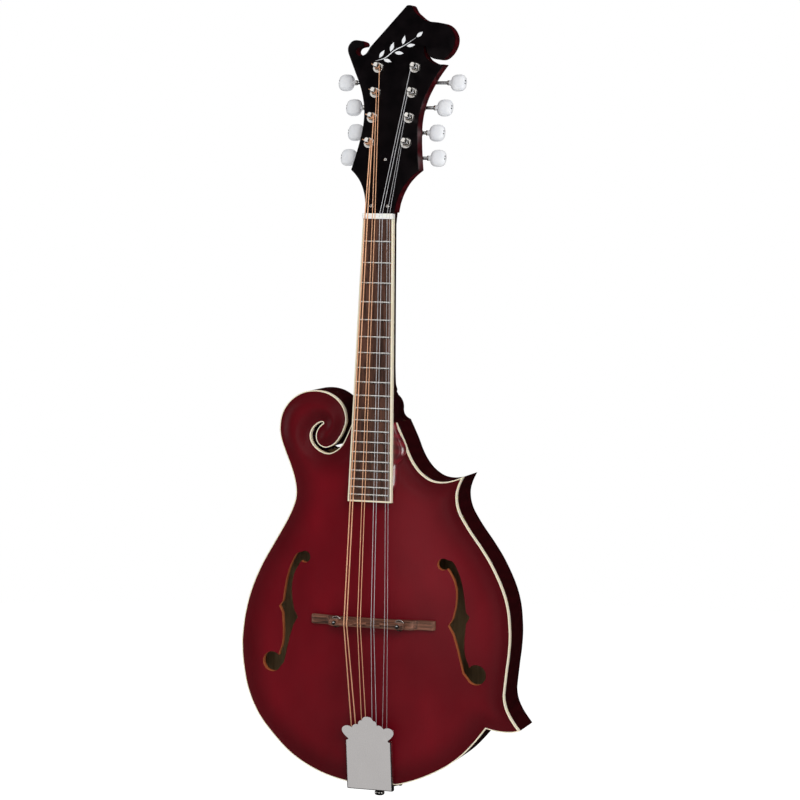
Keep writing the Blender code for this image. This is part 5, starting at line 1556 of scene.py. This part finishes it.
def make_tail_screws(path):
    """The wood screws that hold the tailpiece's flange to the tail, beside and below the cover."""
    low = sorted(p for p in path if abs(p[0]) < 70 and p[1] < 60)
    spots = []
    for x, y in ((-24.0, 7.6), (24.0, 7.6), (0.0, 12.4)):
        z = float(np.interp(x, [p[0] for p in low], [p[1] for p in low])) - GAP - FRAME_SHEET
        spots.append((x, y, -z))
    make_screws("tail", spots, 1.9, moved(as_is, 0, 0, 0, -1), 0.9, 0.5)


# ---- Strings ----


def straight(start, end, count):
    return [np.array(start) + (np.array(end) - np.array(start)) * t for t in np.linspace(0, 1, count)]


def make_string(index):
    """One string in three runs: hook to saddle, saddle to nut, and nut to post, with its looped end."""
    name = STRING_NAMES[index]
    radius = STRING_RADII[index]
    finish, slot = (BRONZE, "bronze_wound_string") if index < 4 else (STRING_STEEL, "steel")
    side, k = string_post_of(index)
    nut_x = string_xs(COURSE_AT_NUT, PAIR_AT_NUT, 0.0)[index]
    saddle_x = string_xs(COURSE_AT_SADDLE, PAIR_AT_SADDLE, STRING_MIDDLE)[index]
    tail_x = string_xs(COURSE_AT_TAIL, PAIR_AT_TAIL, 0.0)[index]
    hook_w = 36.0 if index % 2 else 44.0
    saddle = np.array((saddle_x, SADDLE_TOP - GAP - radius, BRIDGE_Z - COMPENSATION[index] + 0.4))
    nut = np.array(board_place(nut_x, -NUT_LENGTH - GAP, NUT_SLOT - radius))
    over_nut = nut + (saddle - nut) * 0.012
    post = np.array(head_place(side * (POST_U - 2.1 - radius), post_v(k), STRING_LEVEL))
    on_plate = FRAME_SHEET + GAP
    hook = np.array(tail_place(tail_x, hook_w, on_plate + radius))
    leave = np.array(tail_place(tail_x, 55.0, on_plate + radius))

    upper = tube(straight(over_nut, saddle, 60), radius, 14)
    speaking = piece(f"string_{name}_speaking", upper, finish, None, [f"string_{name}"], angle=60)
    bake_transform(speaking)
    lower = tube(straight(leave, saddle, 14), radius, 14)
    behind = piece(f"string_{name}_behind_saddle", lower, finish, None, angle=60)
    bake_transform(behind)
    loop = [tail_place(tail_x + 1.15 * math.sin(a), hook_w - 2.6 - 1.3 * math.cos(a), on_plate + 0.6)
            for a in np.linspace(math.radians(60), math.radians(480), 26)]

    def round_hook(a, b, c):
        return tail_place(a, hook_w + 0.6 * c, on_plate + radius + (b - hook_w))

    ends = [tube(straight(hook, leave, 6), radius, 12), tube(loop, min(radius, 0.25), 8, (0.0, 1.0, 0.0)),
            coil((tail_x, hook_w, 0), radius + 0.16, 0.17, 7, 0.0, round_hook, 0.85)]
    piece(f"string_{name}_loop_end", joined(ends), finish, angle=60)
    after = [over_nut, nut, nut + (post - nut) * 0.03, *straight(nut + (post - nut) * 0.05, post, 8)]
    piece(f"string_{name}_to_post", tube(after, radius, 12), finish, angle=60)


# ---- The whole mandolin ----


PATH = body_path()

make_soundboard(PATH)
make_binding(PATH)
make_ribs(PATH)
make_back(PATH)
make_linings(PATH)
repaint("head_block", BLOCK_WOOD)
repaint("tail_block", BLOCK_WOOD)
repaint("tone_bar_bass", SPRUCE)
repaint("tone_bar_treble", SPRUCE)
repaint("truss_rod", STEEL)
make_neck()
make_headstock_face()
make_truss_cover()
make_nut()
make_fingerboard()
make_bushings()
make_tuner_plate("tuner_plate_bass", -1)
make_tuner_plate("tuner_plate_treble", 1)
for tuner, tuner_side, place_in_row in tuner_names():
    make_tuner(tuner, tuner_side, place_in_row, BRONZE if tuner_side < 0 else STRING_STEEL)
make_bridge_base()
make_saddle()
make_bridge_hardware()
make_cover()
make_tailpiece()
make_tail_screws(PATH)
for string in range(len(STRING_NAMES)):
    make_string(string)


# ---- Studio ----


def direction(azimuth, elevation):
    """The unit vector from the mandolin towards something seen at that angle; azimuth 0 is its front."""
    a, e = math.radians(azimuth), math.radians(elevation)
    return Vector((math.sin(a) * math.cos(e), -math.cos(a) * math.cos(e), math.sin(e)))


def add_camera():
    right = Vector((math.cos(math.radians(CAMERA_AZIMUTH)), math.sin(math.radians(CAMERA_AZIMUTH)), 0))
    back = direction(CAMERA_AZIMUTH, CAMERA_ELEVATION)
    up = back.cross(right)
    roll = math.radians(CAMERA_ROLL)
    across = math.cos(roll) * right + math.sin(roll) * up
    upright = -math.sin(roll) * right + math.cos(roll) * up
    data = bpy.data.cameras.new("studio_camera")
    data.lens = CAMERA_LENS
    data.sensor_width = 36
    data.clip_end = 50
    camera = bpy.data.objects.new("studio_camera", data)
    turned = Matrix((across, upright, back)).transposed().to_4x4()
    turned.translation = Vector(CAMERA_TARGET) + back * CAMERA_DISTANCE
    camera.matrix_world = turned
    bpy.context.scene.collection.objects.link(camera)
    bpy.context.scene.camera = camera


def add_light(name, azimuth, elevation, distance, size, power, centre=(0, 0, 0.33), glossy=True):
    data = bpy.data.lights.new(name, "AREA")
    data.shape = "RECTANGLE"
    data.size, data.size_y = size
    data.energy = power
    light = bpy.data.objects.new(name, data)
    towards = direction(azimuth, elevation)
    light.location = Vector(centre) + towards * distance
    light.rotation_mode = "QUATERNION"
    light.rotation_quaternion = towards.to_track_quat("Z", "Y")
    light.visible_glossy = glossy
    bpy.context.scene.collection.objects.link(light)
    return light


def add_light_for(name, finishes, azimuth, elevation, distance, size, power, centre=(0, 0, 0.33)):
    """A card whose light falls only on the pieces with one of these finishes."""
    card = add_light(name, azimuth, elevation, distance, size, power, centre)
    lit = bpy.data.collections.new(f"lit_by_{name}")
    for obj in bpy.context.scene.objects:
        if obj.type == "MESH" and any(m in finishes for m in obj.data.materials):
            lit.objects.link(obj)
    card.light_linking.receiver_collection = lit


def add_world():
    """White behind the mandolin, a dim grey room for reflections and a soft fill."""
    world_made = bpy.data.worlds.new("studio_room")
    world_made.use_nodes = True
    bpy.context.scene.world = world_made
    tree = world_made.node_tree
    background = tree.nodes["Background"]
    path = tree.nodes.new("ShaderNodeLightPath")
    strength = 0.3
    for output, value in (("Is Glossy Ray", 0.006), ("Is Camera Ray", 1.0)):
        mix = tree.nodes.new("ShaderNodeMix")
        tree.links.new(path.outputs[output], mix.inputs[0])
        if isinstance(strength, float):
            mix.inputs[2].default_value = strength
        else:
            tree.links.new(strength, mix.inputs[2])
        mix.inputs[3].default_value = value
        strength = mix.outputs[0]
    background.inputs["Color"].default_value = (1, 1, 1, 1)
    tree.links.new(strength, background.inputs["Strength"])


def add_floor():
    """A wide pale floor, far enough below that it only shows as a soft white ground."""
    angles = np.linspace(0, TURN, 96, endpoint=False)
    ring = [(FLOOR_RADIUS * math.cos(a), FLOOR_RADIUS * math.sin(a), FLOOR_Z) for a in angles]
    mesh = bpy.data.meshes.new("studio_floor")
    mesh.from_pydata(ring, [], [tuple(range(96))])
    surface = bpy.data.materials.new("studio_floor_white")
    surface.use_nodes = True
    shader = surface.node_tree.nodes["Principled BSDF"]
    shader.inputs["Base Color"].default_value = (0.82, 0.82, 0.82, 1)
    shader.inputs["Roughness"].default_value = 0.9
    shader.inputs["Emission Color"].default_value = (1, 1, 1, 1)
    seen = surface.node_tree.nodes.new("ShaderNodeLightPath").outputs["Is Camera Ray"]
    glow = surface.node_tree.nodes.new("ShaderNodeMapRange")
    surface.node_tree.links.new(seen, glow.inputs["Value"])
    glow.inputs["To Min"].default_value = 0.12
    glow.inputs["To Max"].default_value = 0.82
    surface.node_tree.links.new(glow.outputs["Result"], shader.inputs["Emission Strength"])
    mesh.materials.append(surface)
    floor = bpy.data.objects.new("studio_floor", mesh)
    floor.visible_glossy = False
    bpy.context.scene.collection.objects.link(floor)


add_camera()
add_world()
add_floor()
add_light("key_soft", 34, 26, 2.6, (1.5, 1.2), 30, glossy=False)
add_light("wide_fill", -24, 46, 2.8, (2.4, 2.0), 16, glossy=False)
add_light("sheen_card", 8, 0, 2.6, (0.8, 1.3), 3.4)
add_light("strip_left", -78, 8, 2.2, (0.35, 2.2), 5.0)
add_light("strip_right", 66, 10, 2.4, (0.26, 2.0), 9.0)
add_light("back_left", -165, 30, 2.6, (1.2, 1.2), 40, glossy=False)
add_light("back_right", -176, 5, 2.6, (1.0, 1.2), 20, glossy=False)
add_light_for("riser_card", (RISER_MAPLE_PAINTED_LIT,), 78, 0, 1.6, (1.0, 1.0), 22, (0, 0, 0.27))
add_light_for("rear_card", (NICKEL, STEEL), 180, -25, 1.9, (2.0, 2.0), 9, (0, 0, 0.58))
add_light_for("tail_card", (SATIN_NICKEL,), -18, -24, 1.5, (1.5, 1.5), 4.6, (0, 0, 0.04))
add_light_for("metal_card", (NICKEL, STEEL, STRING_STEEL, BRONZE, FRET_WIRE), -30, 38, 1.9, (2.2, 2.6), 17)
bpy.context.scene.view_settings.view_transform = "Standard"
